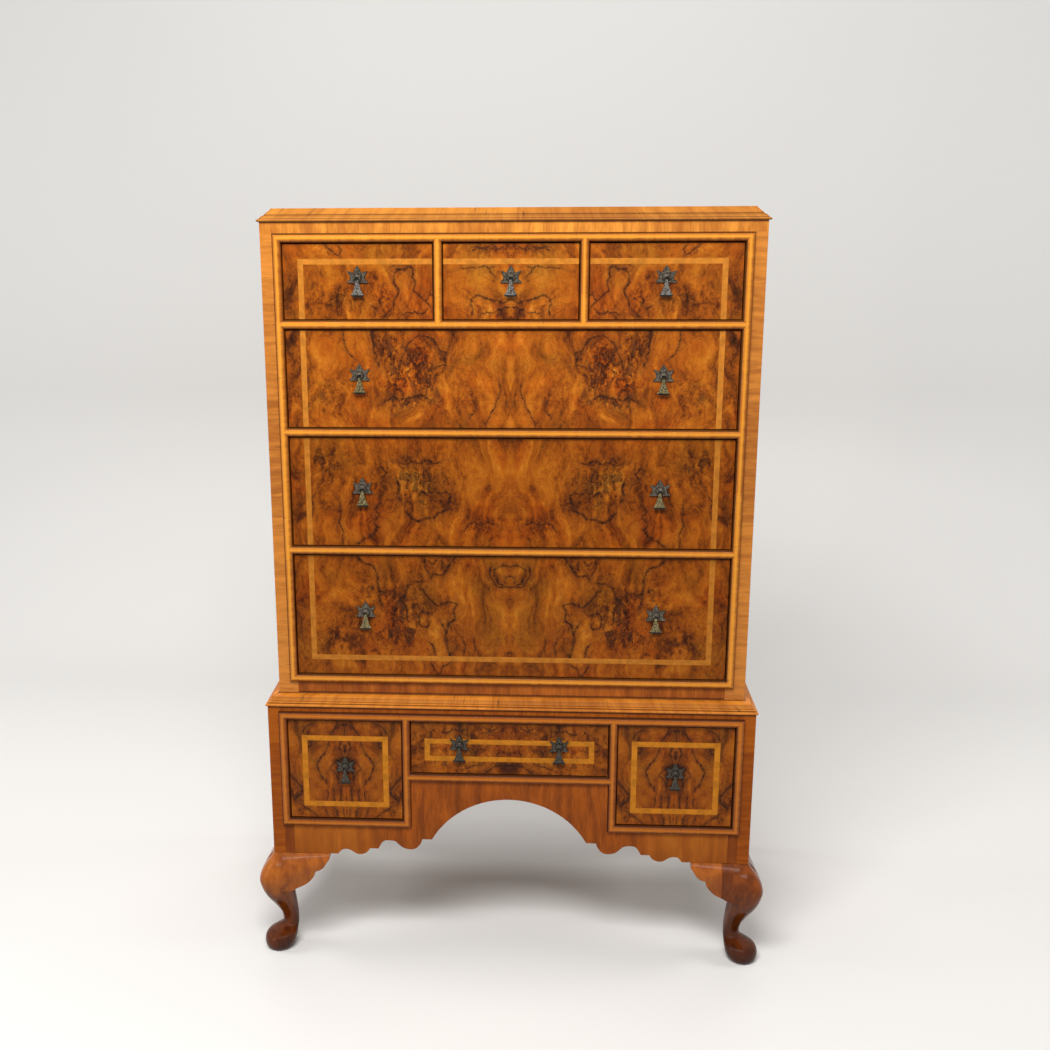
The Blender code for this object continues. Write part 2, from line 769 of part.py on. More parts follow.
def drawer(name, x, z, front, pulls, meshes):
    """A drawer in the opening x by z: its runner empty slides along Y from the middle of the opening."""
    face = front + FRONT_SET
    runner = bpy.data.objects.new(name + "_runner", None)
    parts.objects.link(runner)
    board = box(
        (x[0] + SIDE_CLEAR, x[1] - SIDE_CLEAR),
        (face, face + FRONT_T),
        (z[0] + FOOT_CLEAR, z[1] - TOP_CLEAR),
    )
    node(name + "_front", WALNUT, [board]).parent = runner
    tray(
        name + "_tray",
        (x[0] + TRAY_SIDE_CLEAR, x[1] - TRAY_SIDE_CLEAR),
        (face + FRONT_T + GAP, BACK - BACK_T - TRAY_BACK_CLEAR),
        (z[0] + GAP, z[1] - TRAY_TOP_DROP),
        runner,
    )
    pin_z = (z[0] + z[1]) / 2 + PULL_RISE
    for label, pull_x in pulls:
        place = ((x[0] + x[1]) / 2 + pull_x, face, pin_z)
        placed(name + label + "_plate", meshes["plate"], place, runner)
        hang = (place[0], face - PIN_Y, pin_z)
        placed(name + label + "_drop", meshes["drop"], hang, runner)


def rows():
    """The low and high of each row of the upper case, from the top down."""
    found = []
    top = OPEN_TOP
    for height in ROW_HEIGHTS:
        found.append((top - height, top))
        top -= height + BEAD
    return found


def drawers():
    meshes = {"plate": plate_mesh(), "drop": drop_mesh()}
    single = [("", 0)]
    small, *long = rows()
    near = PARTITION_X - BEAD / 2
    far = PARTITION_X + BEAD / 2
    drawer("small_left", (-OPEN_X, -far), small, CASE_FRONT, single, meshes)
    drawer("small_middle", (-near, near), small, CASE_FRONT, single, meshes)
    drawer("small_right", (far, OPEN_X), small, CASE_FRONT, single, meshes)
    reach = OPEN_X * LONG_PULL_SHARE
    pair = [("_left", -reach), ("_right", reach)]
    for name, z in zip(("long_upper", "long_middle", "long_lower"), long):
        drawer(name, (-OPEN_X, OPEN_X), z, CASE_FRONT, pair, meshes)
    deep = (DEEP_LOW, DEEP_TOP)
    inner = DEEP_INNER_X - BEAD
    drawer("deep_left", (-DEEP_OUTER_X, -DEEP_INNER_X), deep, STAND_FRONT, single, meshes)
    drawer("deep_right", (DEEP_INNER_X, DEEP_OUTER_X), deep, STAND_FRONT, single, meshes)
    reach = inner * SHALLOW_PULL_SHARE
    pair = [("_left", -reach), ("_right", reach)]
    drawer("shallow", (-inner, inner), (SHALLOW_LOW, DEEP_TOP), STAND_FRONT, pair, meshes)


def upper_case():
    for side, word in ((-1, "left"), (1, "right")):
        upper_side(side, "upper_side_" + word)
    upper_back()
    cornice()
    small, first, second, third = rows()
    small_drawer_frame(small[0])
    node("upper_rail", WALNUT, *case_board(first[0], DUST_T, first[0] - BEAD))
    node("lower_rail", WALNUT, *case_board(second[0], DUST_T, second[0] - BEAD))
    node("upper_base", WALNUT, *case_board(third[0], BASE_T, CASE_LOW + GAP))


def stand():
    for side, word in ((-1, "left"), (1, "right")):
        stand_side(side, "stand_side_" + word)
        cabriole_leg(side, "front_leg_" + word)
    stand_back()
    stand_frame()
    apron()
    waist()


clear_scene()
parts = new_collection("tallboy")
helpers = new_collection("tallboy cutters")
helpers.hide_render = True
upper_case()
stand()
drawers()
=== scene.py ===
"""The looks of a burr walnut tallboy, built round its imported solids. Metres, +Z up, the front faces -Y."""

import math

import bmesh
import bpy
import numpy as np
from mathutils import Matrix, Vector


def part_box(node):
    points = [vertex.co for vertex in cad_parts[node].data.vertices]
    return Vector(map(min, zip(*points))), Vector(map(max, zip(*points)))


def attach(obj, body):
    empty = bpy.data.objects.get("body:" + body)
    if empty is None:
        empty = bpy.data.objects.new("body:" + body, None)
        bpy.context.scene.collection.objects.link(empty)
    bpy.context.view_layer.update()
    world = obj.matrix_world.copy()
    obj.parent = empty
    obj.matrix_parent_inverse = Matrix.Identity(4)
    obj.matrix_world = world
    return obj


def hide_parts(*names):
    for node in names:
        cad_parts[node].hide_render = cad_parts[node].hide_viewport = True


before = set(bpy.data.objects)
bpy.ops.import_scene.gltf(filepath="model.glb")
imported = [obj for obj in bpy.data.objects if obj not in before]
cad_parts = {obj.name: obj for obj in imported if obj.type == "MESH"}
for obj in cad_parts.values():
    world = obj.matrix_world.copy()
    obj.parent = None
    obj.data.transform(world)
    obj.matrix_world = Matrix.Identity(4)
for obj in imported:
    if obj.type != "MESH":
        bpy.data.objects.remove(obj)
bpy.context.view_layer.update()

# The case and the stand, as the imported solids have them
CASE_HALF = 0.437
CASE_FRONT = -0.19525
CASE_LOW = 0.530
CASE_TOP = 1.398
STAND_HALF = 0.457
STAND_FRONT = -0.21525
STAND_LOW = 0.204
STAND_TOP = 0.509
BACK = 0.24475
SIDE = 0.018
POST = 0.036
OPEN_X = 0.400
OPEN_LOW = 0.568
OPEN_TOP = 1.363
ROWS = ((1.230, 1.363), (1.038, 1.214), (0.8185, 1.022), (0.568, 0.8025))
PARTITION = 0.127
DEEP_OUT = 0.421
DEEP_IN = 0.203
DEEP_LOW = 0.280
DEEP_TOP = 0.483
SHALLOW_LOW = 0.378
BEAD = 0.016
PROUD = 0.0075
ROUND = 0.0243
STRIP = (0.416, 0.434)
SEAT = 0.003
VENEER = 0.0012
CORE = 0.020
RAIL_DEPTH = 0.060
GUIDE = 0.018
BACK_FACE = BACK - 0.0095
HAIR = 0.0003
SIDES = ((-1, "left"), (1, "right"))

# How a bead's two ends are cut
MITRED, POINTED, TOP_POINTED = ("mitre", "mitre"), ("point", "point"), ("mitre", "point")

# How far edges are rounded: hidden ones, crisp ones and worn ones
HIDDEN, CRISP, WORN = 0.0002, 0.0004, 0.0008
COAT_ROUGH = 0.08


class Value:
    """A number that changes over a surface. Sums and products of values add Math nodes."""

    def __init__(self, paint, socket):
        self.paint = paint
        self.socket = socket

    def __add__(self, other):
        return self.paint.maths("ADD", self, other)

    def __sub__(self, other):
        return self.paint.maths("SUBTRACT", self, other)

    def __rsub__(self, other):
        return self.paint.maths("SUBTRACT", other, self)

    def __mul__(self, other):
        return self.paint.maths("MULTIPLY", self, other)

    def __abs__(self):
        return self.paint.maths("ABSOLUTE", self)

    __radd__ = __add__
    __rmul__ = __mul__


class Paint:
    def __init__(self, name, slot, world=None):
        self.slot = slot
        self.material = world or bpy.data.materials.new(name)
        self.material.use_nodes = True
        self.tree = self.material.node_tree
        self.tree.nodes.clear()
        self.place = self.add("TexCoord", out="Object")

    def add(self, kind, settings=None, sockets=None, out=0):
        """A node of a kind, as the value of one of its outputs. Sockets take numbers or other values."""
        made = self.tree.nodes.new("ShaderNode" + kind)
        for name, value in (settings or {}).items():
            if name == "stops":
                ramp = made.color_ramp
                while len(ramp.elements) < len(value):
                    ramp.elements.new(1.0)
                for stop, (at, colour) in zip(ramp.elements, value):
                    stop.position = at
                    stop.color = (*colour, 1.0)
            else:
                setattr(made, name, value)
        for name, value in (sockets or {}).items():
            if isinstance(value, Value):
                self.tree.links.new(value.socket, made.inputs[name])
            else:
                made.inputs[name].default_value = value
        return Value(self, made.outputs[out] if made.outputs else None)

    def maths(self, operation, *values):
        """A sum, a product or another operation on numbers."""
        return self.add("Math", {"operation": operation}, dict(enumerate(values)))

    def vector(self, operation, *values, out="Vector"):
        """An operation on places or lengths."""
        return self.add("VectorMath", {"operation": operation}, dict(enumerate(values)), out)

    def step(self, value, low, high, ends=(0.0, 1.0)):
        """A smooth step between two ends as value goes from low to high."""
        sockets = {"Value": value, "From Min": low, "From Max": high, "To Min": ends[0], "To Max": ends[1]}
        return self.add("MapRange", {"interpolation_type": "SMOOTHSTEP"}, sockets)

    def mix(self, share, first, second, blend="MIX"):
        """Two colours, blended by a share."""
        settings = {"data_type": "RGBA", "blend_type": blend, "clamp_factor": True}
        colours = {n: c if isinstance(c, Value) else (*c, 1.0) for n, c in ((6, first), (7, second))}
        return self.add("Mix", settings, {0: share, **colours}, 2)

    def ramp(self, value, *stops):
        """A colour that runs straight from stop to stop as value goes from 0 to 1."""
        return self.add("ValToRGB", {"stops": stops}, {"Fac": value})

    def noise(self, place, scale, detail=3.0, rough=0.5, distortion=0.0, out=0):
        """Smooth noise about 0.5 with scale waves to the metre and detail finer octaves."""
        sockets = {"Vector": place, "Scale": scale, "Detail": detail, "Roughness": rough}
        return self.add("TexNoise", {}, {**sockets, "Distortion": distortion}, out)

    def grain(self, place, stretch, detail, rough, distortion=0.0):
        """Noise drawn out by a scale for each axis."""
        return self.noise(self.vector("MULTIPLY", place, stretch), 1.0, detail, rough, distortion)

    def shifted(self, place, reach, scale, detail=2, rough=0.5, source=None):
        """A place moved along each axis by up to reach, by the colour of a noise at source or at the place."""
        noise = self.noise(source or place, scale, detail, rough, out=1)
        off = self.vector("SUBTRACT", noise, (0.5, 0.5, 0.5))
        return self.vector("ADD", place, self.vector("MULTIPLY", off, (2 * reach, 2 * reach, 2 * reach)))

    def parts(self, place):
        """The x, y and z of a place."""
        return [self.add("SeparateXYZ", None, {0: place}, n) for n in range(3)]

    def finish(self, colour, rough, metallic=0.0, coat=0.0, bump=None, depth=0.0004, shine=0.5):
        """The Principled shader. Height is raised by bump up to depth, and shine is the specular level."""
        sockets = {"Base Color": colour, "Roughness": rough, "Metallic": metallic, "Coat Weight": coat}
        sockets.update({"Coat Roughness": COAT_ROUGH, "Specular IOR Level": shine})
        if bump is not None:
            sockets["Normal"] = self.add("Bump", None, {"Height": bump, "Distance": depth})
        self.add("OutputMaterial", None, {"Surface": self.add("BsdfPrincipled", None, sockets)})
        return self


# Burr figure, in millimetres across from the seam and up from the floor: strokes are dark lines as (width,
# points), burrs and clouds are soft ovals as (across, up, half width, half height, amount)
SMALL_FIGURE = {
    "strokes": (
        (2.2, ((0, 1264), (14, 1259), (26, 1264), (38, 1268), (50, 1267), (58, 1271), (67, 1266), (70, 1257))),
        (2.0, ((70, 1257), (65, 1249), (67, 1240))),
        (1.6, ((0, 1250), (8, 1252), (14, 1246), (22, 1250), (30, 1243), (40, 1246), (52, 1243), (58, 1236))),
        (1.6, ((10, 1356), (22, 1352), (34, 1358), (44, 1350), (58, 1354), (66, 1346))),
        (1.5, ((30, 1322), (38, 1318), (44, 1322), (56, 1318), (70, 1321), (84, 1318))),
        (1.5, ((38, 1318), (36, 1310), (28, 1304))),
        (2.6, ((204, 1252), (202, 1268), (196, 1282), (204, 1296), (204, 1310), (198, 1320), (186, 1318))),
        (2.4, ((186, 1318), (176, 1324), (170, 1318), (172, 1304), (166, 1294), (168, 1282), (158, 1272))),
        (2.4, ((158, 1272), (148, 1264), (141, 1252))), (2.0, ((148, 1264), (142, 1276), (136, 1270))),
        (2.2, ((205, 1252), (215, 1244), (224, 1236))), (1.8, ((150, 1248), (158, 1240), (170, 1244), (184, 1238))),
        (1.6, ((326, 1362), (318, 1354), (308, 1344), (298, 1340), (296, 1350), (302, 1356))),
        (1.6, ((240, 1236), (236, 1248), (244, 1256))),
    ),
    "burrs": (
        (222, 1265, 16, 34, 0.9), (170, 1243, 34, 12, 0.8), (35, 1353, 50, 9, 0.8), (30, 1243, 40, 12, 0.9),
        (300, 1262, 60, 26, 0.5), (320, 1352, 40, 10, 0.5),
    ),
    "clouds": (
        (180, 1288, 17, 26, 0.16), (222, 1266, 12, 30, -0.34), (300, 1268, 50, 26, -0.16), (75, 1285, 32, 26, 0.2),
        (0, 1296, 70, 44, 0.16), (40, 1352, 45, 8, -0.18), (35, 1252, 26, 12, 0.12), (392, 1300, 18, 70, -0.25),
    ),
}
UPPER_FIGURE = {
    "strokes": (
        (2.8, ((244, 1213), (246, 1200), (240, 1190), (243, 1178), (236, 1168), (240, 1158), (235, 1150))),
        (1.6, ((296, 1205), (292, 1185), (286, 1172), (276, 1162))),
        (2.6, ((113, 1150), (118, 1160), (114, 1170), (126, 1178), (130, 1192), (140, 1200), (158, 1203))),
        (2.2, ((158, 1203), (172, 1196), (182, 1188), (186, 1172), (196, 1160), (200, 1146))),
        (2.2, ((113, 1150), (124, 1152), (132, 1148))),
        (2.6, ((146, 1092), (160, 1095), (172, 1092), (184, 1096), (196, 1090), (208, 1094), (222, 1088))),
        (1.8, ((184, 1094), (191, 1082), (184, 1077), (181, 1086))), (1.8, ((208, 1092), (213, 1081), (206, 1076))),
        (2.0, ((150, 1096), (148, 1108), (142, 1116), (150, 1124))),
        (1.4, ((42, 1046), (36, 1062), (28, 1076), (24, 1092), (20, 1106), (22, 1118))),
        (1.2, ((70, 1058), (62, 1072), (66, 1086))),
    ),
    "burrs": (
        (170, 1165, 58, 30, 1.0), (150, 1122, 28, 24, 1.0), (200, 1118, 24, 32, 0.9), (335, 1090, 48, 38, 0.65),
        (80, 1092, 34, 34, 0.4), (218, 1185, 22, 22, 0.7), (170, 1086, 60, 12, 0.8),
    ),
    "clouds": (
        (172, 1168, 50, 24, -0.26), (148, 1125, 20, 18, -0.28), (196, 1114, 18, 22, -0.18),
        (218, 1182, 20, 22, -0.2), (178, 1140, 6, 40, 0.3), (0, 1150, 70, 60, 0.12), (330, 1082, 42, 30, -0.2),
        (310, 1185, 30, 26, 0.08), (82, 1085, 26, 26, -0.12), (392, 1130, 20, 120, -0.22),
    ),
}
MIDDLE_FIGURE = {
    "strokes": (
        (2.8, ((242, 898), (246, 886), (240, 876), (246, 864), (242, 852), (252, 842), (262, 836), (280, 824))),
        (3.0, ((107, 918), (108, 908), (114, 898), (116, 888), (126, 880), (140, 874), (156, 872), (170, 868))),
        (2.6, ((170, 868), (182, 874), (190, 884))),
        (2.4, ((107, 918), (116, 924), (128, 920), (136, 926), (148, 918), (158, 922))),
        (2.2, ((126, 978), (140, 976), (150, 980), (164, 974), (180, 978), (190, 972), (204, 974))),
        (6.0, ((184, 985), (187, 983))), (2.2, ((206, 940), (200, 928), (206, 916), (198, 906))),
        (2.2, ((148, 950), (144, 938), (150, 930), (146, 918))), (1.8, ((232, 968), (226, 958), (232, 948))),
        (1.5, ((312, 896), (308, 880), (312, 862), (306, 845), (308, 825))),
        (1.5, ((352, 925), (362, 905), (358, 890), (364, 870))),
        (1.5, ((30, 860), (42, 866), (54, 862), (66, 870), (76, 862), (84, 850))),
    ),
    "burrs": (
        (175, 940, 64, 46, 1.0), (332, 965, 44, 42, 0.6), (60, 856, 48, 20, 0.6), (262, 880, 20, 26, 0.5),
    ),
    "clouds": (
        (216, 915, 22, 36, -0.22), (145, 903, 34, 26, -0.26), (176, 935, 7, 32, 0.4), (140, 955, 25, 20, -0.12),
        (0, 915, 40, 45, 0.12), (332, 960, 40, 38, -0.14), (60, 858, 46, 18, -0.12), (325, 850, 25, 30, 0.1),
        (392, 920, 20, 120, -0.22),
    ),
}
LOWER_FIGURE = {
    "strokes": (
        (3.0, ((283, 799), (268, 787), (252, 778), (245, 765), (246, 750), (243, 735), (240, 720), (236, 706))),
        (2.2, ((243, 735), (235, 732), (238, 724))),
        (2.2, ((158, 796), (158, 785), (155, 775), (147, 764), (146, 757))),
        (3.0, ((146, 757), (140, 765), (128, 765), (120, 768), (117, 780), (108, 790), (98, 799))),
        (1.6, ((150, 790), (140, 785), (133, 795))), (1.6, ((128, 776), (121, 782), (125, 792))),
        (2.8, ((160, 738), (151, 722), (141, 712), (133, 706), (122, 709), (112, 712), (100, 709))),
        (2.2, ((100, 709), (103, 695), (101, 682), (112, 672))),
        (3.6, ((112, 672), (119, 658), (119, 645), (117, 630), (114, 618), (111, 607))),
        (2.4, ((128, 675), (123, 662), (119, 652))), (2.2, ((151, 634), (145, 628), (142, 618), (141, 606))),
        (2.6, ((152, 690), (165, 692), (170, 680), (165, 668), (154, 663), (150, 672))),
        (2.2, ((190, 745), (178, 752), (160, 752))),
        (2.8, ((190, 745), (195, 730), (200, 715), (192, 700), (190, 682))), (4.5, ((259, 739), (255, 737))),
        (2.4, ((225, 655), (220, 640))), (2.4, ((197, 650), (190, 640), (186, 648))),
        (2.0, ((0, 742), (10, 745), (22, 750), (29, 762), (28, 778), (18, 784), (8, 781), (0, 780))),
        (1.8, ((34, 782), (38, 770), (34, 755), (25, 745), (12, 741), (0, 743))),
        (1.8, ((0, 765), (6, 764), (9, 757), (7, 750))), (1.6, ((88, 645), (84, 630), (87, 612))),
        (1.5, ((68, 640), (67, 625), (68, 610))), (1.8, ((145, 595), (138, 580), (134, 570))),
        (1.8, ((115, 593), (128, 590), (134, 571))),
    ),
    "burrs": (
        (195, 690, 46, 52, 1.0), (120, 672, 18, 20, 0.6), (310, 640, 60, 40, 0.65), (205, 645, 34, 14, 0.9),
        (130, 782, 28, 16, 0.8), (262, 735, 22, 30, 0.5),
    ),
    "clouds": (
        (195, 705, 40, 38, -0.24), (215, 735, 25, 14, -0.14), (200, 775, 45, 18, -0.04), (186, 700, 6, 40, 0.22),
        (128, 650, 16, 42, 0.16), (0, 708, 16, 40, 0.16), (100, 735, 40, 26, 0.08), (320, 745, 28, 45, 0.1),
        (315, 640, 55, 32, -0.18), (70, 625, 40, 24, -0.1), (10, 575, 60, 10, -0.1), (392, 690, 20, 130, -0.22),
    ),
}
DEEP_FIGURE = {
    "strokes": (
        (2.4, ((12, 478), (22, 456), (29, 440), (37, 424), (45, 410), (53, 399), (57, 390))),
        (2.2, ((57, 390), (52, 380), (48, 370), (42, 360), (36, 352))), (3.4, ((0, 472), (0, 452))),
        (2.0, ((5, 440), (9, 428), (9, 418), (6, 410), (2, 404))), (1.8, ((0, 432), (1, 424), (0, 416))),
        (2.2, ((2, 405), (10, 402), (17, 396))), (2.4, ((15, 382), (15, 366), (16, 351))),
        (1.8, ((22, 392), (28, 384), (22, 374), (17, 364))), (1.8, ((64, 475), (74, 470), (79, 458))),
        (2.6, ((107, 372), (102, 360), (92, 347), (86, 339), (88, 326), (96, 318))),
        (2.4, ((88, 304), (78, 300), (68, 292), (60, 283))), (1.3, ((12, 345), (11, 313))),
        (1.3, ((23, 342), (24, 312))), (1.3, ((35, 338), (36, 312))), (1.4, ((8, 302), (7, 283))),
        (1.4, ((24, 302), (21, 284))), (1.4, ((42, 302), (37, 284))), (1.4, ((58, 442), (66, 430), (77, 422))),
        (1.4, ((66, 444), (76, 434))),
    ),
    "burrs": (
        (97, 330, 14, 20, 0.9), (90, 292, 22, 10, 0.7), (0, 385, 26, 20, 0.4),
    ),
    "clouds": (
        (98, 322, 15, 24, -0.28), (0, 388, 17, 15, -0.26), (28, 410, 22, 26, 0.1), (50, 345, 20, 18, 0.06),
        (0, 318, 22, 24, -0.12), (100, 462, 14, 18, -0.14),
    ),
}
SHALLOW_FIGURE = {
    "strokes": (
        (2.0, ((84, 468), (92, 462), (104, 466), (116, 460), (128, 466))), (1.8, ((98, 479), (92, 470), (95, 462))),
        (2.0, ((0, 398), (14, 397), (28, 393), (40, 386), (48, 379))), (1.5, ((60, 396), (72, 392), (84, 388))),
        (1.5, ((140, 470), (150, 462), (148, 452))), (1.5, ((20, 474), (34, 468), (46, 472))),
    ),
    "burrs": (
        (95, 430, 120, 60, 0.7),
    ),
    "clouds": (
        (176, 430, 18, 50, -0.22), (95, 468, 34, 10, -0.14), (40, 388, 44, 9, -0.12),
    ),
}

# Linear colours: burr from dark to light, its redder and greyer places, ink, islands, and on the beads a painted
# highlight along the crest and painted shade below it and at its edges
WOOD = (
    (0.0, (0.02, 0.006, 0.002)), (0.25, (0.11, 0.023, 0.003)), (0.5, (0.335, 0.078, 0.005)),
    (0.72, (0.5, 0.14, 0.009)), (1.0, (0.715, 0.28, 0.026)),
)
RED_TINT = (1.0, 0.74, 0.60)
GREY_TINT = (0.82, 1.0, 1.1)
INK = (0.022, 0.008, 0.004)
ISLAND = (0.085, 0.024, 0.007)
CREST_HIGHLIGHT = (0.90, 0.360, 0.032)
LOW_CREST_HIGHLIGHT = (0.64, 0.195, 0.012)
UNDER_SHADE = (0.170, 0.040, 0.006)
EDGE_SHADE = 0.85
CROWD = 30
BOW = 0.0003


def ovals(paint, place, items):
    """The sum of soft ovals: amount times e to the minus squared distance in half sizes."""
    total = 0.0
    for across, up, wide, high, amount in items:
        turns = {
            "Location": (-across / wide, 0, -up / high),
            "Scale": (1000 / wide, 0, 1000 / high),
        }
        near = paint.add("Mapping", None, {0: place, **turns})
        fall = paint.maths("EXPONENT", paint.vector("DOT_PRODUCT", near, near, out="Value") * -1.0)
        total = fall * amount + total
    return total


def ink_lines(paint, place, strokes, rag):
    """The ink on the strokes and the stain round them: each piece of a stroke is a long thin oval.

    After every CROWD pieces the rest bow aside a little where they come near the ones before.
    """
    nearest = None
    count = 0
    for width, path in strokes:
        for (x0, z0), (x1, z1) in zip(path, path[1:]):
            reach = math.hypot(x1 - x0, z1 - z0) * 0.68 + width
            turns = {
                "Location": ((x0 + x1) / 2000, 0, (z0 + z1) / 2000),
                "Rotation": (0, -math.atan2(z1 - z0, x1 - x0), 0),
                "Scale": (reach / 1000, 1, width / 1000),
            }
            local = paint.add("Mapping", {"vector_type": "TEXTURE"}, {0: place, **turns})
            away = paint.vector("LENGTH", local, out="Value")
            nearest = away if nearest is None else paint.maths("MINIMUM", nearest, away)
            count += 1
            if count % CROWD == 0:
                push = paint.vector("MULTIPLY", (BOW, 0, BOW), paint.maths("MINIMUM", nearest, 1.0))
                place = paint.vector("ADD", place, push)
    return paint.step(nearest + rag, 1.15, 0.45), paint.step(nearest + rag, 4.0, 0.8)


def burr_veneer(name, figure, inlay, falloff_shade, strip, seam=0):
    """Burr walnut, book matched about its seam, with a light strip let in along a rectangle."""
    paint = Paint(name, "burr_walnut")
    folded = paint.vector("ABSOLUTE", paint.place)
    if seam:
        folded = paint.vector("ABSOLUTE", paint.vector("SUBTRACT", folded, (seam, 0, 0)))
    flat = paint.vector("MULTIPLY", folded, (1, 0, 1))
    bent = paint.shifted(flat, 0.008, 30)
    bent = paint.shifted(bent, 0.003, 150, 3, 0.6, flat)
    loose = paint.shifted(flat, 0.045, 9)
    curled = paint.shifted(flat, 0.011, 70, 3, 0.6)
    burr = paint.maths("MINIMUM", ovals(paint, bent, figure["burrs"]) + 0.12, 1.0)
    mottle = paint.grain(curled, (125, 1, 88), 4, 0.68, 0.6)
    coarse = paint.grain(curled, (68, 1, 46), 2, 0.55, 0.4)
    broad = paint.noise(loose, 17, 3, 0.55)
    flame = paint.grain(loose, (40, 1, 13), 4, 0.60, 0.7)
    fibre = paint.grain(bent, (1000, 1, 170), 3, 0.6)
    swirl = paint.grain(loose, (30, 1, 17), 2, 0.5, 1.2)
    rings = paint.step(abs(paint.maths("FRACT", swirl * 15.0) - 0.5), 0.20, 0.02)

    # The wood itself, from dark to light, then redder and greyer in places
    tone = 0.53 + ovals(paint, bent, figure["clouds"]) * 0.6 + (broad - 0.5) * 0.65 + (flame - 0.5) * 1.15
    tone = tone + (fibre - 0.5) * 0.12 + (mottle - 0.5) * (burr * 1.3 + 0.35) - rings * 0.10
    colour = paint.ramp(tone, *WOOD)
    hue = paint.noise(loose, 10, 3, 0.6)
    colour = paint.mix(paint.step(hue, 0.5, 0.66) * 0.7, colour, RED_TINT, "MULTIPLY")
    colour = paint.mix(paint.step(hue, 0.48, 0.34) * 0.7, colour, GREY_TINT, "MULTIPLY")

    # Burrs: dark islands with inked rims, threads and pips
    grown = burr * 0.72 + (coarse - 0.5) * 2.7 + (mottle - 0.5) * 0.5
    colour = paint.mix(paint.step(grown, 0.84, 0.94) * 0.66, colour, ISLAND)
    colour = paint.mix(paint.step(abs(grown - 0.84), 0.09, 0.02) * burr * 0.6, colour, INK)
    thread = paint.step(abs(coarse - 0.54), 0.022, 0.004) * paint.step(burr, 0.3, 0.8)
    colour = paint.mix(thread * paint.step(mottle, 0.4, 0.55) * 0.6, colour, INK)
    eyes = paint.add("TexVoronoi", {"feature": "F1"}, {"Vector": bent, "Scale": 95.0})
    pips = paint.step(eyes, 0.28, 0.14) * paint.step(coarse, 0.48, 0.56)
    colour = paint.mix(pips * (burr * 0.7 + 0.10), colour, INK)

    # The strokes, and then the inlaid strip over everything
    rag = (paint.noise(flat, 240, 3, 0.6) - 0.5) * 2.0
    ink, stain = ink_lines(paint, bent, figure["strokes"], rag)
    colour = paint.mix(stain * 0.3, colour, ISLAND)
    colour = paint.mix(ink * paint.step(mottle, 0.36, 0.54, (0.97, 0.6)), colour, INK)
    across, _, up = paint.parts(flat)
    half_w, half_h, middle, band = inlay
    edge = paint.maths("MAXIMUM", across - half_w, abs(up - middle) - half_h)
    line = paint.step(abs(edge), band / 2 + 0.0004, band / 2 - 0.0004)
    tint = paint.grain(flat, (60, 1, 60), 3, 0.6)
    dull = [part * 0.72 for part in strip]
    colour = paint.mix(line, colour, paint.mix(paint.step(tint, 0.35, 0.65), dull, strip))
    # Painted shade: the whole face is darkened by its share, for the light falling off lower down
    colour = paint.mix(1.0, colour, (falloff_shade, falloff_shade, falloff_shade), "MULTIPLY")
    rough = 0.30 + (mottle - 0.5) * 0.16
    return paint.finish(colour, rough, coat=0.32 * falloff_shade - 0.16, bump=fibre, depth=0.00006, shine=0.04)


def banded_veneer(name, light, dark, streak=170.0, shade_lines=(), crest_highlight=None, coat=0.35):
    """Veneer laid with its grain across the piece: the grain map runs along it and then across it.

    Shade lines are painted shade: dark lines in hollows and under noses, as (height, half width, amount). A bead,
    which has a crest, has painted shade at its edges, browner towards its lower or right one, and a painted
    highlight along the crest.
    """
    paint = Paint(name, "burr_walnut")
    grain = paint.add("UVMap", {"uv_map": "grain"})
    bent = paint.shifted(grain, 0.003, 40)
    fine = paint.grain(bent, (streak * 5, 30, 1), 3, 0.6)
    wide = paint.grain(bent, (streak * 0.6, 12, 1), 4, 0.62)
    rare = paint.grain(bent, (streak, 16, 1), 2, 0.5)
    along, across, _ = paint.parts(grain)
    lengths = paint.maths("FLOOR", along * 4.6)
    sheets = paint.add("TexWhiteNoise", {"noise_dimensions": "1D"}, {"W": lengths})
    tone = 0.5 + (wide - 0.5) * 1.25 + (fine - 0.5) * 0.5 + (sheets - 0.5) * 0.3
    colour = paint.mix(paint.step(tone, 0.1, 0.9), dark, light)
    colour = paint.mix(paint.step(rare, 0.66, 0.78) * 0.6, colour, INK)
    if crest_highlight:
        # Painted highlight along the crest, painted shade towards the lower or right edge and painted shade at both
        # edges
        ragged = across + (wide - 0.5) * 0.004
        colour = paint.mix(paint.step(abs(ragged - 0.62 * ROUND), 0.0055, 0.0010) * 0.7, colour, crest_highlight)
        colour = paint.mix(paint.step(ragged, 0.0125, 0.0020) * 0.75, colour, UNDER_SHADE)
        colour = paint.mix(paint.step(abs(ragged - ROUND / 2), 0.0090, ROUND / 2) * EDGE_SHADE, colour, INK)
    up = paint.parts(paint.place)[2]
    # Painted shade: each of these lines darkens a band at its height
    for height, reach, amount in shade_lines:
        line = paint.step(abs(up - height), reach, reach * 0.3) * amount
        colour = paint.mix(line, colour, INK)
    return paint.finish(colour, 0.26 + (fine - 0.5) * 0.1, coat=coat, bump=fine, depth=0.00005, shine=0.06)


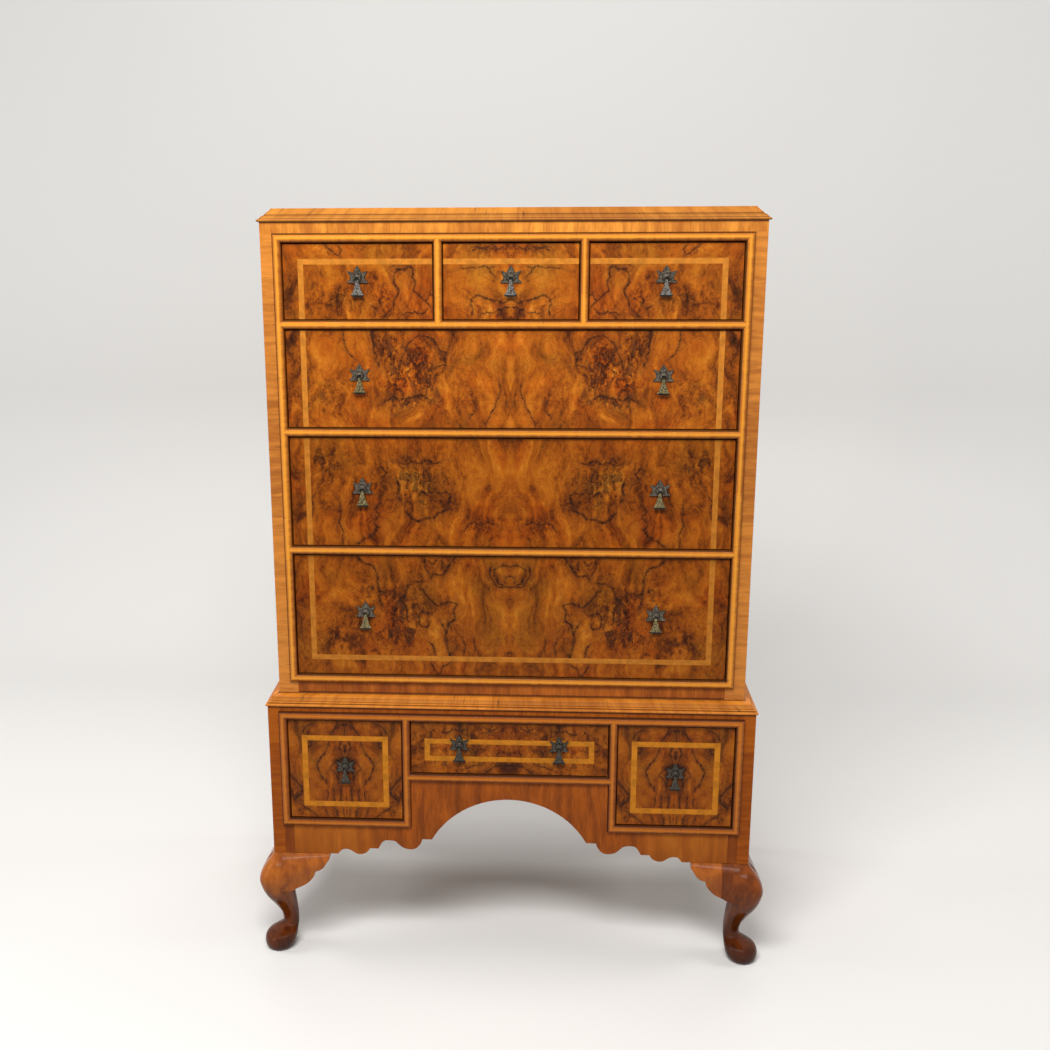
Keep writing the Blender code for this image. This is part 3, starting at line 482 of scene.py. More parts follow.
def long_grain(name, slot, light, dark, stretch, rough=0.32, coat=0.1, level=False):
    """Plain timber: dark lines drawn out along the grain, which stretch gives as scales for x, y and z.

    Level timber is boxed up from boards: on upright faces the grain runs along y as it does along x.
    """
    paint = Paint(name, slot)
    bent = paint.shifted(paint.place, 0.02, 5)
    if level:
        flat = paint.step(abs(paint.parts(paint.add("TexCoord", out="Normal"))[2]), 0.4, 0.6)
        scale_y = stretch[0] + flat * (stretch[1] - stretch[0])
        stretch = paint.add("CombineXYZ", None, {0: stretch[0], 1: scale_y, 2: stretch[2]})
    drawn = paint.vector("MULTIPLY", bent, stretch)
    wide = paint.noise(drawn, 0.22, 4, 0.6)
    fine = paint.noise(drawn, 1.4, 3, 0.6)
    tone = 0.5 + (wide - 0.5) * 1.5 + (fine - 0.5) * 0.6
    colour = paint.mix(paint.step(tone, 0.1, 0.9), dark, light)
    return paint.finish(colour, rough + (fine - 0.5) * 0.12, coat=coat, bump=fine, depth=0.00006, shine=0.12)


def apron_walnut():
    """Upright red grain in the middle of the apron, and plainer, lighter wings."""
    paint = Paint("apron_wood", "burr_walnut")
    bent = paint.shifted(paint.place, 0.012, 12)
    wide = paint.grain(bent, (46, 1, 9), 4, 0.6)
    fine = paint.grain(bent, (420, 1, 40), 3, 0.6)
    wing = paint.step(abs(paint.parts(bent)[0]), 0.22, 0.31)
    streak = paint.step(wide + (fine - 0.5) * 0.4, 0.3, 0.7)
    middle = paint.mix(streak, (0.22, 0.048, 0.005), (0.46, 0.105, 0.008))
    streak = paint.step(wide + (fine - 0.5) * 0.3, 0.3, 0.7)
    side = paint.mix(streak, (0.36, 0.088, 0.007), (0.50, 0.140, 0.012))
    colour = paint.mix(wing, middle, side)
    return paint.finish(colour, 0.34 + (fine - 0.5) * 0.1, coat=0.1, bump=fine, depth=0.00005, shine=0.08)


def leg_walnut():
    """Walnut: orange on the ears and the left knee, brown lower down and dark on the feet."""
    paint = Paint("leg_walnut", "polished_walnut")
    x, _, z = paint.parts(paint.place)
    bent = paint.shifted(paint.place, 0.012, 14, 3)
    wide = paint.grain(bent, (60, 60, 14), 4, 0.6)
    fine = paint.grain(bent, (420, 420, 40), 3, 0.6)
    streak = paint.step(wide, 0.3, 0.7)
    warm = paint.step(z + (wide - 0.5) * 0.05, 0.100, 0.150) * paint.step(x, 0.407, 0.405)
    light = paint.mix(streak, (0.27, 0.062, 0.008), (0.48, 0.130, 0.013))
    brown = paint.mix(streak, (0.13, 0.026, 0.003), (0.27, 0.060, 0.005))
    dark = paint.mix(streak, (0.050, 0.010, 0.002), (0.11, 0.022, 0.003))
    colour = paint.mix(paint.step(z - x * 0.02, 0.030, 0.115), dark, brown)
    colour = paint.mix(warm, colour, light)
    colour = paint.mix((fine - 0.35) * 0.5, colour, INK)
    return paint.finish(colour, 0.20 + wide * 0.08, coat=0.35, bump=fine, depth=0.00004, shine=0.06)


def cast_brass(name, hollow, raised, rough, hung=False):
    """Cast brass: dark in its hollows. A hung drop has painted shade at its eye, in the boss's slot, and on the
    underside of its foot as well.
    """
    paint = Paint(name, "antique_brass")
    pits = paint.noise(paint.place, 900, 3, 0.6)
    blot = paint.noise(paint.place, 420, 2, 0.5)
    wear_and_shade = paint.step(blot + (pits - 0.5) * 0.4, 0.28, 0.70)
    if hung:
        # Painted shade: the drop's eye in the boss's slot and its foot's underside take the hollow colour
        down = paint.parts(paint.add("UVMap", {"uv_map": "grain"}))[0]
        wear_and_shade = wear_and_shade * paint.step(down, 0.0040, 0.0050) * paint.step(down, 0.0312, 0.0300)
    colour = paint.mix(wear_and_shade, hollow, raised)
    return paint.finish(colour, rough + (blot - 0.5) * 0.3, metallic=0.7, bump=pits, depth=0.00012)


# Each inlaid rectangle: its half width and half height, its middle's height, and the strip's width
UPPER_INLAY = (0.3675, 0.3645, 0.9660, 0.0098)
DEEP_INLAY = (0.0770, 0.0678, 0.3775, 0.0105)
SHALLOW_INLAY = (0.1550, 0.0175, 0.4260, 0.0098)
UPPER_STRIP = (0.64, 0.225, 0.026)
LOWER_STRIP = (0.72, 0.250, 0.016)
DEEP_SEAM = 0.312
# The share after the inlay is painted shade: the lower rows are darkened for the light falling off lower down
small_veneer = burr_veneer("small_veneer", SMALL_FIGURE, UPPER_INLAY, 1.0, UPPER_STRIP)
upper_veneer = burr_veneer("upper_veneer", UPPER_FIGURE, UPPER_INLAY, 1.0, UPPER_STRIP)
middle_veneer = burr_veneer("middle_veneer", MIDDLE_FIGURE, UPPER_INLAY, 0.85, UPPER_STRIP)
lower_veneer = burr_veneer("lower_veneer", LOWER_FIGURE, UPPER_INLAY, 0.84, UPPER_STRIP)
deep_veneer = burr_veneer("deep_veneer", DEEP_FIGURE, DEEP_INLAY, 0.90, LOWER_STRIP, DEEP_SEAM)
shallow_veneer = burr_veneer("shallow_veneer", SHALLOW_FIGURE, SHALLOW_INLAY, 0.88, LOWER_STRIP)

# Painted shade: dark lines in the mouldings' hollows, under the cornice's and the waist's noses, and in the crease
# above the waist moulding, as (height, half width, amount)
CORNICE_SHADE_LINES = ((1.4035, 0.0008, 0.7), (1.4085, 0.0045, 0.25), (1.4098, 0.0009, 0.5), (1.3995, 0.0018, 0.6))
WAIST_SHADE_LINES = ((0.5146, 0.0009, 0.75), (0.5178, 0.0008, 0.6), (0.5215, 0.0045, 0.2), (0.5296, 0.0012, 0.7))
FRIEZE_SHADE_LINES = ((1.3975, 0.0016, 0.6),)
BASE_SHADE_LINES = ((0.5315, 0.0018, 0.7),)
STAND_SHADE_LINES = ((0.5075, 0.0030, 0.55),)
stile_band = banded_veneer("stile_band", (0.70, 0.250, 0.034), (0.36, 0.105, 0.014))
light, dark = (0.90, 0.345, 0.042), (0.44, 0.130, 0.015)
frieze_band = banded_veneer("frieze_band", light, dark, 90.0, FRIEZE_SHADE_LINES)
light, dark = (0.70, 0.245, 0.022), (0.40, 0.110, 0.009)
bead_band = banded_veneer("bead_band", light, dark, 120.0, crest_highlight=CREST_HIGHLIGHT)
light, dark = (0.60, 0.225, 0.030), (0.36, 0.110, 0.013)
cornice_band = banded_veneer("cornice_band", light, dark, 70.0, CORNICE_SHADE_LINES)
light, dark = (0.70, 0.240, 0.028), (0.42, 0.120, 0.013)
waist_band = banded_veneer("waist_band", light, dark, 70.0, WAIST_SHADE_LINES)
light, dark = (0.54, 0.145, 0.012), (0.24, 0.054, 0.006)
base_band = banded_veneer("base_band", light, dark, 80.0, BASE_SHADE_LINES, coat=0.15)
light, dark = (0.46, 0.112, 0.006), (0.26, 0.052, 0.003)
stand_band = banded_veneer("stand_band", light, dark, shade_lines=STAND_SHADE_LINES, coat=0.10)
strip_band = banded_veneer("strip_band", (0.34, 0.078, 0.008), (0.20, 0.042, 0.005), coat=0.1)
# The stand's beads are darker copies of the case's beads, crest highlight included: painted shade for the dimmer
# light lower down
light, dark = (0.46, 0.125, 0.009), (0.26, 0.056, 0.005)
stand_bead_band = banded_veneer("stand_bead_band", light, dark, 120.0, crest_highlight=LOW_CREST_HIGHLIGHT, coat=0.3)
apron_wood = apron_walnut()
light, dark = (0.52, 0.150, 0.015), (0.24, 0.058, 0.007)
side_wood = long_grain("side_wood", "burr_walnut", light, dark, (110, 110, 12))
top_wood = long_grain("top_wood", "burr_walnut", light, dark, (12, 110, 110))
light, dark = (0.56, 0.37, 0.19), (0.38, 0.225, 0.10)
oak_bare = long_grain("oak_bare", "drawer_oak", light, dark, (18, 190, 190), 0.6, 0.0, True)
light, dark = (0.38, 0.22, 0.11), (0.20, 0.105, 0.05)
back_bare = long_grain("back_bare", "back_ply", light, dark, (120, 120, 14), 0.7, 0.0)
leg_finish = leg_walnut()
bronze = cast_brass("bronze", (0.028, 0.023, 0.017), (0.20, 0.175, 0.135), 0.45)
# dark_bronze, on the stand's plates and on the pins, is bronze darkened: painted shade for the dimmer light lower
# down and in the bosses
dark_bronze = cast_brass("dark_bronze", (0.020, 0.017, 0.014), (0.11, 0.095, 0.075), 0.45)
dark_drop = cast_brass("dark_drop", (0.015, 0.013, 0.010), (0.10, 0.085, 0.065), 0.42, True)
gilt_drop = cast_brass("gilt_drop", (0.022, 0.018, 0.012), (0.36, 0.285, 0.13), 0.40, True)
silver_drop = cast_brass("silver_drop", (0.022, 0.020, 0.018), (0.33, 0.305, 0.27), 0.38, True)


def piece(name, mesh, paint, body="carcass", stands_for=None, edge=0.0, steps=2):
    """An object of its own on one body, which may stand for a solid, with its sharp edges rounded by edge."""
    mesh.materials.append(paint.material)
    made = bpy.data.objects.new(name, mesh)
    bpy.context.scene.collection.objects.link(made)
    if edge:
        bevel = made.modifiers.new("rounding", "BEVEL")
        bevel.width = edge
        bevel.segments = steps
        bevel.limit_method = "ANGLE"
        bevel.angle_limit = math.radians(40)
        bevel.harden_normals = True
    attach(made, body)
    if stands_for:
        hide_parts(stands_for)
    return made


def new_mesh(name, points, faces, grain=None, crease=32.0):
    """A closed mesh whose faces point outwards, smooth apart from edges sharper than crease degrees."""
    mesh = bpy.data.meshes.new(name)
    mesh.from_pydata(np.asarray(points).reshape(-1, 3).tolist(), [], [list(face) for face in faces])
    if grain is not None:
        layer = mesh.uv_layers.new(name="grain")
        layer.data.foreach_set("uv", np.asarray(grain, np.float32).ravel())
    bm = bmesh.new()
    bm.from_mesh(mesh)
    bmesh.ops.remove_doubles(bm, verts=bm.verts, dist=1e-6)
    bmesh.ops.recalc_face_normals(bm, faces=bm.faces)
    bm.to_mesh(mesh)
    bm.free()
    mesh.polygons.foreach_set("use_smooth", np.ones(len(mesh.polygons), bool))
    mesh.set_sharp_from_angle(angle=math.radians(crease))
    return mesh


def swept(name, rings, axis=None, start=0.0, crease=32.0):
    """A closed shell through rings of points, capped at both ends.

    The grain map is the distance along, which is the coordinate on axis if one is given, and the distance
    round the ring.
    """
    rings = np.asarray(rings, float)
    rows, columns = rings.shape[:2]
    wrapped = np.concatenate([rings, rings[:, :1]], 1)
    around = np.linalg.norm(np.diff(wrapped[0], axis=0), axis=1)
    across = np.tile(np.concatenate([[0], np.cumsum(around)]), (rows, 1))
    if axis is None:
        gaps = np.linalg.norm(np.diff(rings.mean(1), axis=0), axis=1)
        along = np.tile(np.concatenate([[0], np.cumsum(gaps)])[:, None], (1, columns + 1))
    else:
        along = wrapped[..., axis]
    i, j = np.meshgrid(np.arange(rows - 1), np.arange(columns), indexing="ij")
    i, j = i.ravel(), j.ravel()
    corners = [(i, j), (i, j + 1), (i + 1, j + 1), (i + 1, j)]
    faces = np.stack([r * columns + c % columns for r, c in corners], 1).tolist()
    grain = np.stack([np.stack([along[r, c] + start, across[r, c]], 1) for r, c in corners], 1).reshape(-1, 2)
    ends = []
    for row in (0, rows - 1):
        faces.append([row * columns + c for c in range(columns)])
        ends.append(np.stack([along[row, :columns] + start, across[row, :columns]], 1))
    return new_mesh(name, rings, faces, np.concatenate([grain, *ends]), crease)


def board(name, across, depth, up, paint, body="carcass", stands_for=None, edge=WORN, along=0):
    """A board that fills its spans in x, y and z. Its grain map is its length, which lies on axis along, and
    the sum of its other two coordinates."""
    low, high = np.array([sorted(across), depth, up], float).T
    corners = np.array([[x, y, z] for x in (0, 1) for y in (0, 1) for z in (0, 1)], float)
    points = low + corners * (high - low)
    faces = np.array([(0, 1, 3, 2), (4, 6, 7, 5), (0, 4, 5, 1), (2, 3, 7, 6), (0, 2, 6, 4), (1, 5, 7, 3)])
    length = points[:, along]
    rest = points.sum(1) - length
    grain = np.stack([length, rest], 1)[faces.ravel()]
    return piece(name, new_mesh(name, points, faces, grain), paint, body, stands_for, edge)


def half_round():
    """A bead's section as (across, proud), an arc of half a turn closed by its seat."""
    turn = np.linspace(0, np.pi, 17)
    arc = np.stack([-BEAD / 2 * np.cos(turn), PROUD * np.sin(turn)], 1)
    return np.concatenate([arc, [[BEAD / 2, -SEAT], [-BEAD / 2, -SEAT]]])


def bead(name, start, end, front, outer, paint, cuts=MITRED):
    """A half-round bead between two (x, z) points on the front.

    A mitred end runs on by its distance outwards, a pointed one stops short by its distance from the middle.
    """
    start, end, outer = (np.array(v, float) for v in (start, end, outer))
    run = (end - start) / np.linalg.norm(end - start)
    across, up = half_round().T
    across = across * (1 if outer[1] > outer[0] else -1)
    reach = {"mitre": across, "point": -abs(across)}
    rings = []
    for place, sign, cut in ((start, -1, cuts[0]), (end, 1, cuts[1])):
        flat = place + outer * across[:, None] + run * sign * reach[cut][:, None]
        rings.append(np.stack([flat[:, 0], front - up, flat[:, 1]], 1))
    axis = 0 if abs(run[0]) > 0.5 else 2
    return piece(name, swept(name, rings, axis, 0.37 * (start[0] - start[1]), 50.0), paint)


def smooth_through(values, steps):
    """A Catmull-Rom curve through rows of values, with steps points between each pair of rows."""
    values = np.asarray(values, float)
    padded = np.concatenate([2 * values[:1] - values[1:2], values, 2 * values[-1:] - values[-2:-1]])
    t = np.linspace(0, 1, steps, endpoint=False)[None, :, None]
    a, b, c, d = (padded[n : len(values) - 1 + n, None, :] for n in range(4))
    curve = 0.5 * (2 * b + (c - a) * t + (2 * a - 5 * b + 4 * c - d) * t**2 + (3 * b - a - 3 * c + d) * t**3)
    return np.concatenate([curve.reshape(-1, values.shape[1]), values[-1:]])


def moulding(name, profile, paint, node, inside):
    """A profile of (reach, height) points carried round both sides and the front, mitred at the corners."""
    profile = np.array(profile, float) / 1000
    closed = [[-inside, profile[-1, 1]], [-inside, profile[0, 1]]]
    reach, up = np.concatenate([profile, closed]).T
    side, face = CASE_HALF + reach, CASE_FRONT - reach
    back = np.full_like(reach, BACK)
    rings = [(-side, back), (-side, face), (side, face), (side, back)]
    rings = [np.stack([x, y, up], 1) for x, y in rings]
    return piece(name, swept(name, rings, crease=38.0), paint, "carcass", node)


# Cornice: a thin nose, a hollow, a groove and a long slope that draws in to the top
CORNICE = (
    (0.2, 1398.0), (2.8, 1398.3), (4.1, 1399.0), (4.5, 1400.4), (4.1, 1401.8), (2.6, 1402.7), (0.9, 1403.1),
    (0.2, 1403.8), (-1.2, 1405.6), (-3.4, 1407.6), (-5.6, 1409.0), (-7.2, 1409.5), (-7.8, 1410.2), (-7.8, 1411.0),
    (-9.4, 1412.4), (-12.2, 1414.6), (-14.6, 1416.8), (-16.2, 1418.6), (-17.2, 1420.0), (-17.5, 1421.0),
)
CORNICE_INSIDE = 0.045
moulding("cornice_moulding", CORNICE, cornice_band, "cornice_top", CORNICE_INSIDE)
inner = CASE_HALF - CORNICE_INSIDE
board("top_panel", (-inner, inner), (CASE_FRONT + CORNICE_INSIDE, BACK), (1.4, 1.42098), top_wood, edge=0.0003)

# Waist moulding, from the stand's top up to the case: a nose, two beads and a hollow
WAIST = (
    (20.2, 509.0), (22.4, 509.3), (23.3, 510.2), (23.5, 511.4), (23.1, 512.6), (22.0, 513.5), (20.4, 514.0),
    (18.8, 514.2), (18.4, 514.9), (18.9, 515.5), (18.8, 516.3), (17.9, 517.0), (16.6, 517.3), (15.4, 517.4),
    (15.0, 518.0), (14.6, 518.8), (13.5, 520.4), (12.6, 522.2), (12.0, 523.6), (12.2, 524.4), (12.0, 525.4),
    (11.0, 526.5), (9.4, 527.2), (7.6, 527.5), (6.2, 527.9), (4.4, 528.3), (2.6, 528.9), (1.6, 530.0),
)
WAIST_INSIDE = 0.022
moulding("waist_moulding_run", WAIST, waist_band, "waist_moulding", WAIST_INSIDE)
inner = CASE_HALF - WAIST_INSIDE
up = (STAND_TOP + HAIR, CASE_LOW - HAIR)
board("waist_board", (-inner, inner), (CASE_FRONT + WAIST_INSIDE, BACK), up, oak_bare)

# Case: sides, stiles, rails and the boards that the drawers run on
face = CASE_FRONT + VENEER
core = CASE_FRONT + CORE
rail = CASE_FRONT + RAIL_DEPTH
tall = (CASE_LOW, CASE_TOP)
inner = CASE_HALF - SIDE
bead_x = OPEN_X + BEAD / 2
bead_low, bead_high = OPEN_LOW - BEAD / 2, OPEN_TOP + BEAD / 2
for sign, word in SIDES:
    side, x = sign * CASE_HALF, sign * bead_x
    board("case_side_" + word, (side, sign * inner), (face, BACK), tall, side_wood, edge=CRISP)
    across = (sign * (inner - HAIR), sign * OPEN_X)
    board("case_stile_core_" + word, across, (face, core), tall, side_wood, edge=HIDDEN)
    across, depth, up = (side, sign * OPEN_X), (CASE_FRONT, face), (CASE_LOW, OPEN_TOP + BEAD)
    board("case_stile_" + word, across, depth, up, stile_band, "carcass", "upper_side_" + word, CRISP, 2)
    bead("case_bead_" + word, (x, bead_low), (x, bead_high), CASE_FRONT, (sign, 0), bead_band)
    across = (sign * (OPEN_X + HAIR), sign * inner)
    for n, (low, _) in enumerate(ROWS):
        board(f"case_guide_{word}_{n + 1}", across, (core, BACK_FACE), (low + HAIR, low + GUIDE), oak_bare)

half = OPEN_X - HAIR
wide = inner - HAIR
up = (OPEN_TOP + BEAD, CASE_TOP)
board("frieze", (-CASE_HALF, CASE_HALF), (CASE_FRONT, face), up, frieze_band, edge=HIDDEN)
board("frieze_core", (-half, half), (face, core), (OPEN_TOP, CASE_TOP), side_wood, edge=HIDDEN)
bead("frieze_bead", (-bead_x, bead_high), (bead_x, bead_high), CASE_FRONT, (0, 1), bead_band)
bead("base_bead", (-bead_x, bead_low), (bead_x, bead_low), CASE_FRONT, (0, -1), bead_band)
up = (CASE_LOW, OPEN_LOW - BEAD)
board("base_rail", (-half, half), (CASE_FRONT, face), up, base_band, edge=HIDDEN)
board("base_core", (-half, half), (face, rail), (CASE_LOW + HAIR, OPEN_LOW), side_wood, edge=HIDDEN)


def dust_board(name, top, thick, node):
    """A board behind a rail, from side to side and back to the case's back."""
    depth = (rail, BACK_FACE)
    board(name, (-wide, wide), depth, (top - thick, top), oak_bare, stands_for=node, edge=CRISP)


dust_board("base_board", OPEN_LOW, 0.013, "upper_base")
for node, (top, _) in zip(("small_drawer_frame", "upper_rail", "lower_rail"), ROWS):
    board(node + "_core", (-half, half), (CASE_FRONT, rail), (top - BEAD, top), side_wood, edge=HIDDEN)
    dust_board(node + "_board", top, 0.009, node)
    z = top - BEAD / 2
    bead(node + "_bead", (-bead_x, z), (bead_x, z), CASE_FRONT, (0, 1), bead_band, POINTED)
low = ROWS[0][0]
for sign, word in SIDES:
    x = sign * PARTITION
    depth = (CASE_FRONT, BACK_FACE - HAIR)
    across, up = (x - BEAD / 2, x + BEAD / 2), (low, OPEN_TOP - HAIR)
    board("partition_" + word, across, depth, up, side_wood, edge=HIDDEN)
    ends = ((x, low - BEAD / 2), (x, bead_high))
    bead("partition_bead_" + word, *ends, CASE_FRONT, (1, 0), bead_band, POINTED)

# Stand: sides with the back legs, rails, partitions and boards. A back leg is square, by (height, half width)
BACK_LEG = ((0.0, 0.014), (0.012, 0.01414), (0.197, 0.0174), (STAND_LOW, POST / 2), (STAND_TOP, POST / 2))
face = STAND_FRONT + VENEER
core = STAND_FRONT + CORE
rail = (STAND_FRONT + HAIR, STAND_FRONT + 0.021)
veneer = (STAND_FRONT, face)
tall = (STAND_LOW, STAND_TOP)
under = DEEP_LOW - BEAD
shelf = (under, DEEP_LOW)
inner = STAND_HALF - SIDE
bead_x, near_x = DEEP_OUT + BEAD / 2, DEEP_IN - BEAD / 2
bead_low, bead_high = DEEP_LOW - BEAD / 2, DEEP_TOP + BEAD / 2
square = np.array([(-1, -1), (1, -1), (1, 1), (-1, 1)])
for sign, word in SIDES:
    side, x, near = sign * STAND_HALF, sign * bead_x, sign * near_x
    within, middle = sign * (inner - HAIR), sign * (DEEP_IN - BEAD)
    start, end = (sign * x for x in STRIP)
    board("stand_panel_" + word, (side, sign * inner), (face, BACK - POST), tall, side_wood, edge=CRISP)
    board("stand_stile_core_" + word, (within, sign * DEEP_OUT), (face, core), tall, side_wood, edge=HIDDEN)
    board("stand_stile_" + word, (side, end), veneer, tall, stand_band, "carcass", "stand_side_" + word, CRISP, 2)
    board("apron_strip_" + word, (start, end), veneer, (STAND_LOW, under), strip_band, edge=HIDDEN)
    across, up = (start, sign * (DEEP_OUT - HAIR)), (STAND_LOW, under - HAIR)
    board("apron_end_" + word, across, (face, core), up, side_wood, edge=HIDDEN)
    across, up = (sign * (DEEP_OUT + HAIR), sign * inner), (DEEP_LOW + HAIR, DEEP_LOW + GUIDE)
    board("stand_guide_" + word, across, (core, BACK - POST), up, oak_bare)
    centre = np.array([sign * (STAND_HALF - POST / 2), BACK - POST / 2])
    rings = [np.column_stack([centre + square * reach, np.full(4, z)]) for z, reach in BACK_LEG]
    piece("back_leg_" + word, swept("back_leg_" + word, rings, 2), side_wood, edge=0.0009, steps=3)
    bead("stand_bead_" + word, (x, bead_low), (x, bead_high), STAND_FRONT, (sign, 0), stand_bead_band)
    ends = ((near, bead_low), (near, bead_high))
    bead("stand_partition_bead_" + word, *ends, STAND_FRONT, (-sign, 0), stand_bead_band, TOP_POINTED)
    bead("stand_low_bead_" + word, (near, bead_low), (x, bead_low), STAND_FRONT, (0, -1), stand_bead_band)
    board("deep_board_" + word, (middle, within), (rail[1], BACK - POST - HAIR), shelf, oak_bare)
    board("deep_rail_" + word, (middle, sign * (DEEP_OUT - HAIR)), rail, shelf, side_wood, edge=HIDDEN)
    across, depth = (middle, sign * DEEP_IN), (rail[0], BACK_FACE)
    board("stand_partition_" + word, across, depth, (DEEP_LOW, DEEP_TOP), side_wood, edge=HIDDEN)

across, up = (-STRIP[1], STRIP[1]), (DEEP_TOP + BEAD, STAND_TOP)
board("stand_rail", across, veneer, up, stand_band, "carcass", "stand_frame", HIDDEN)
half = DEEP_OUT - HAIR
board("stand_rail_core", (-half, half), (face, core), (DEEP_TOP, STAND_TOP - HAIR), side_wood, edge=HIDDEN)
ends = ((-bead_x, bead_high), (bead_x, bead_high))
bead("stand_top_bead", *ends, STAND_FRONT, (0, 1), stand_bead_band)
ends = ((-near_x, SHALLOW_LOW - BEAD / 2), (near_x, SHALLOW_LOW - BEAD / 2))
bead("stand_shelf_bead", *ends, STAND_FRONT, (0, 1), stand_bead_band, POINTED)
half = DEEP_IN - BEAD
board("shallow_board", (-half, half), (rail[0], BACK_FACE), (SHALLOW_LOW - BEAD, SHALLOW_LOW), oak_bare)

# The apron's lower edge on the right: an arch, a fillet, a lobe, a cove, a flat and a tail, whose widths are
# shares of the opening's half. Each curve is in shares of its own width and drop
SPRING, ARCH_RISE, LOBE_DROP, COVE_DROP = STAND_LOW + 0.035, 0.087, 0.022, 0.018
ARCH, FILLET, LOBE, COVE, FLAT, TAIL = DEEP_OUT * np.array((0.3515, 0.044, 0.1496, 0.0534, 0.0404, 0.1473))
LOBE_CURVE = ((0, 0), (0.07, 0.48), (0.21, 0.90), (0.39, 1.0), (0.58, 0.88), (0.73, 0.55), (0.84, 0.27), (1, 0.18))
COVE_CURVE = ((0, 0), (0.45, 0.06), (0.72, 0.33), (0.93, 0.78), (1, 1))
TAIL_CURVE = (
    (0, 0), (0.06, 0.45), (0.15, 0.80), (0.27, 1.0), (0.42, 0.92), (0.60, 0.40), (0.74, 0.20), (0.88, 0.35),
    (0.96, 0.75), (1, 1),
)


def apron_line():
    """The lower edge as (x, z): the arch is part of a circle, and the rest are smooth curves."""
    radius = (ARCH**2 + ARCH_RISE**2) / (2 * ARCH_RISE)
    turn = np.linspace(0, math.asin(ARCH / radius), 40)
    arc = np.stack([radius * np.sin(turn), SPRING + ARCH_RISE - radius * (1 - np.cos(turn))], 1)
    start = ARCH + FILLET
    lobe = smooth_through(LOBE_CURVE, 6) * (LOBE, -LOBE_DROP) + (start, SPRING)
    top = lobe[-1, 1]
    cove = smooth_through(COVE_CURVE, 6)[1:] * (COVE, -COVE_DROP) + (start + LOBE, top)
    start += LOBE + COVE + FLAT
    top -= COVE_DROP
    tail = smooth_through(TAIL_CURVE, 6) * (TAIL, STAND_LOW - top) + (start, top)
    return np.concatenate([arc, lobe, cove, tail, [[STRIP[0] - HAIR / 3, STAND_LOW]]])


def apron():
    """Upright rings of the apron from left to right, each between its shaped lower edge and its top.

    The top steps up under the shallow drawer, which lies above the deep ones.
    """
    line = apron_line()
    inner_x = DEEP_IN - BEAD - HAIR
    high = SHALLOW_LOW - BEAD - HAIR
    low = DEEP_LOW - BEAD - HAIR
    cross = np.interp(inner_x, line[:, 0], line[:, 1])
    right = [(x, z, high) for x, z in line if x < inner_x] + [(inner_x, cross, high), (inner_x, cross, low)]
    right = np.array(right + [(x, z, low) for x, z in line if x >= inner_x])
    left = right[:0:-1] * (-1, 1, 1)
    front, back = STAND_FRONT, STAND_FRONT + CORE
    bow = 0.00025
    rings = []
    for x, z, top in np.concatenate([left, right]):
        section = [(front, top), (front, z + WORN), (front + bow, z + bow), (front + WORN, z)]
        section += [(back, z), (back, top)]
        rings.append([(x, y, up) for y, up in section])
    return piece("apron_board", swept("apron_board", rings, 0), apron_wood, "carcass", "apron")


apron()

# Legs: each section's share of the height, outer face in KNEEs, inner face in BLOCKs and squareness. An ear's
# shape is its depth over its length, as shares
KNEE = 0.0295
BLOCK = 0.050
LEG_SECTIONS = (
    (0.0, 0.58, -0.42, 2.0), (0.015, 0.76, -0.57, 2.0), (0.044, 0.85, -0.66, 2.0), (0.083, 0.88, -0.72, 2.0),
    (0.123, 0.82, -0.75, 2.0), (0.152, 0.66, -0.76, 2.0), (0.176, 0.32, -0.766, 2.0), (0.201, -0.05, -0.77, 2.0),
    (0.226, -0.22, -0.772, 2.0), (0.265, -0.255, -0.772, 2.0), (0.324, -0.175, -0.768, 2.1),
    (0.392, 0.02, -0.752, 2.2), (0.466, 0.29, -0.734, 2.4), (0.539, 0.576, -0.71, 2.6), (0.613, 0.79, -0.69, 2.8),
    (0.686, 0.936, -0.72, 3.0), (0.745, 1.0, -0.8, 3.2), (0.809, 0.908, -0.88, 3.5), (0.873, 0.66, -0.96, 4.0),
    (0.931, 0.34, -1.0, 5.0), (0.976, 0.12, -1.0, 6.0), (0.9975, 0.02, -1.0, 7.0),
)
EAR_SHARES = (
    (0.0, 0.12), (0.055, 0.24), (0.1, 0.35), (0.165, 0.425), (0.25, 0.46), (0.275, 0.6), (0.35, 0.74), (0.44, 0.84),
    (0.56, 0.92), (0.68, 1.0), (0.85, 1.0),
)


def leg_mesh(sign, name):
    """Level superellipses up the leg: each point is the middle plus half the width times a power of sine."""
    up, out, inside, power = smooth_through(LEG_SECTIONS, 5).T[..., None]
    turn = np.linspace(0, 2 * np.pi, 56, endpoint=False)[None]
    out, inside = out * KNEE, inside * BLOCK
    middle, half = (out + inside) / 2, (out - inside) / 2
    along = np.sign(np.cos(turn)) * abs(np.cos(turn)) ** (2 / power)
    across = np.sign(np.sin(turn)) * abs(np.sin(turn)) ** (2 / power)
    x = sign * (STAND_HALF + middle + half * along)
    y = STAND_FRONT - middle - half * across
    z = np.clip(up, 0, 1) * STAND_LOW + 0 * turn
    return swept(name, np.stack([x, y, z], -1), crease=60.0)


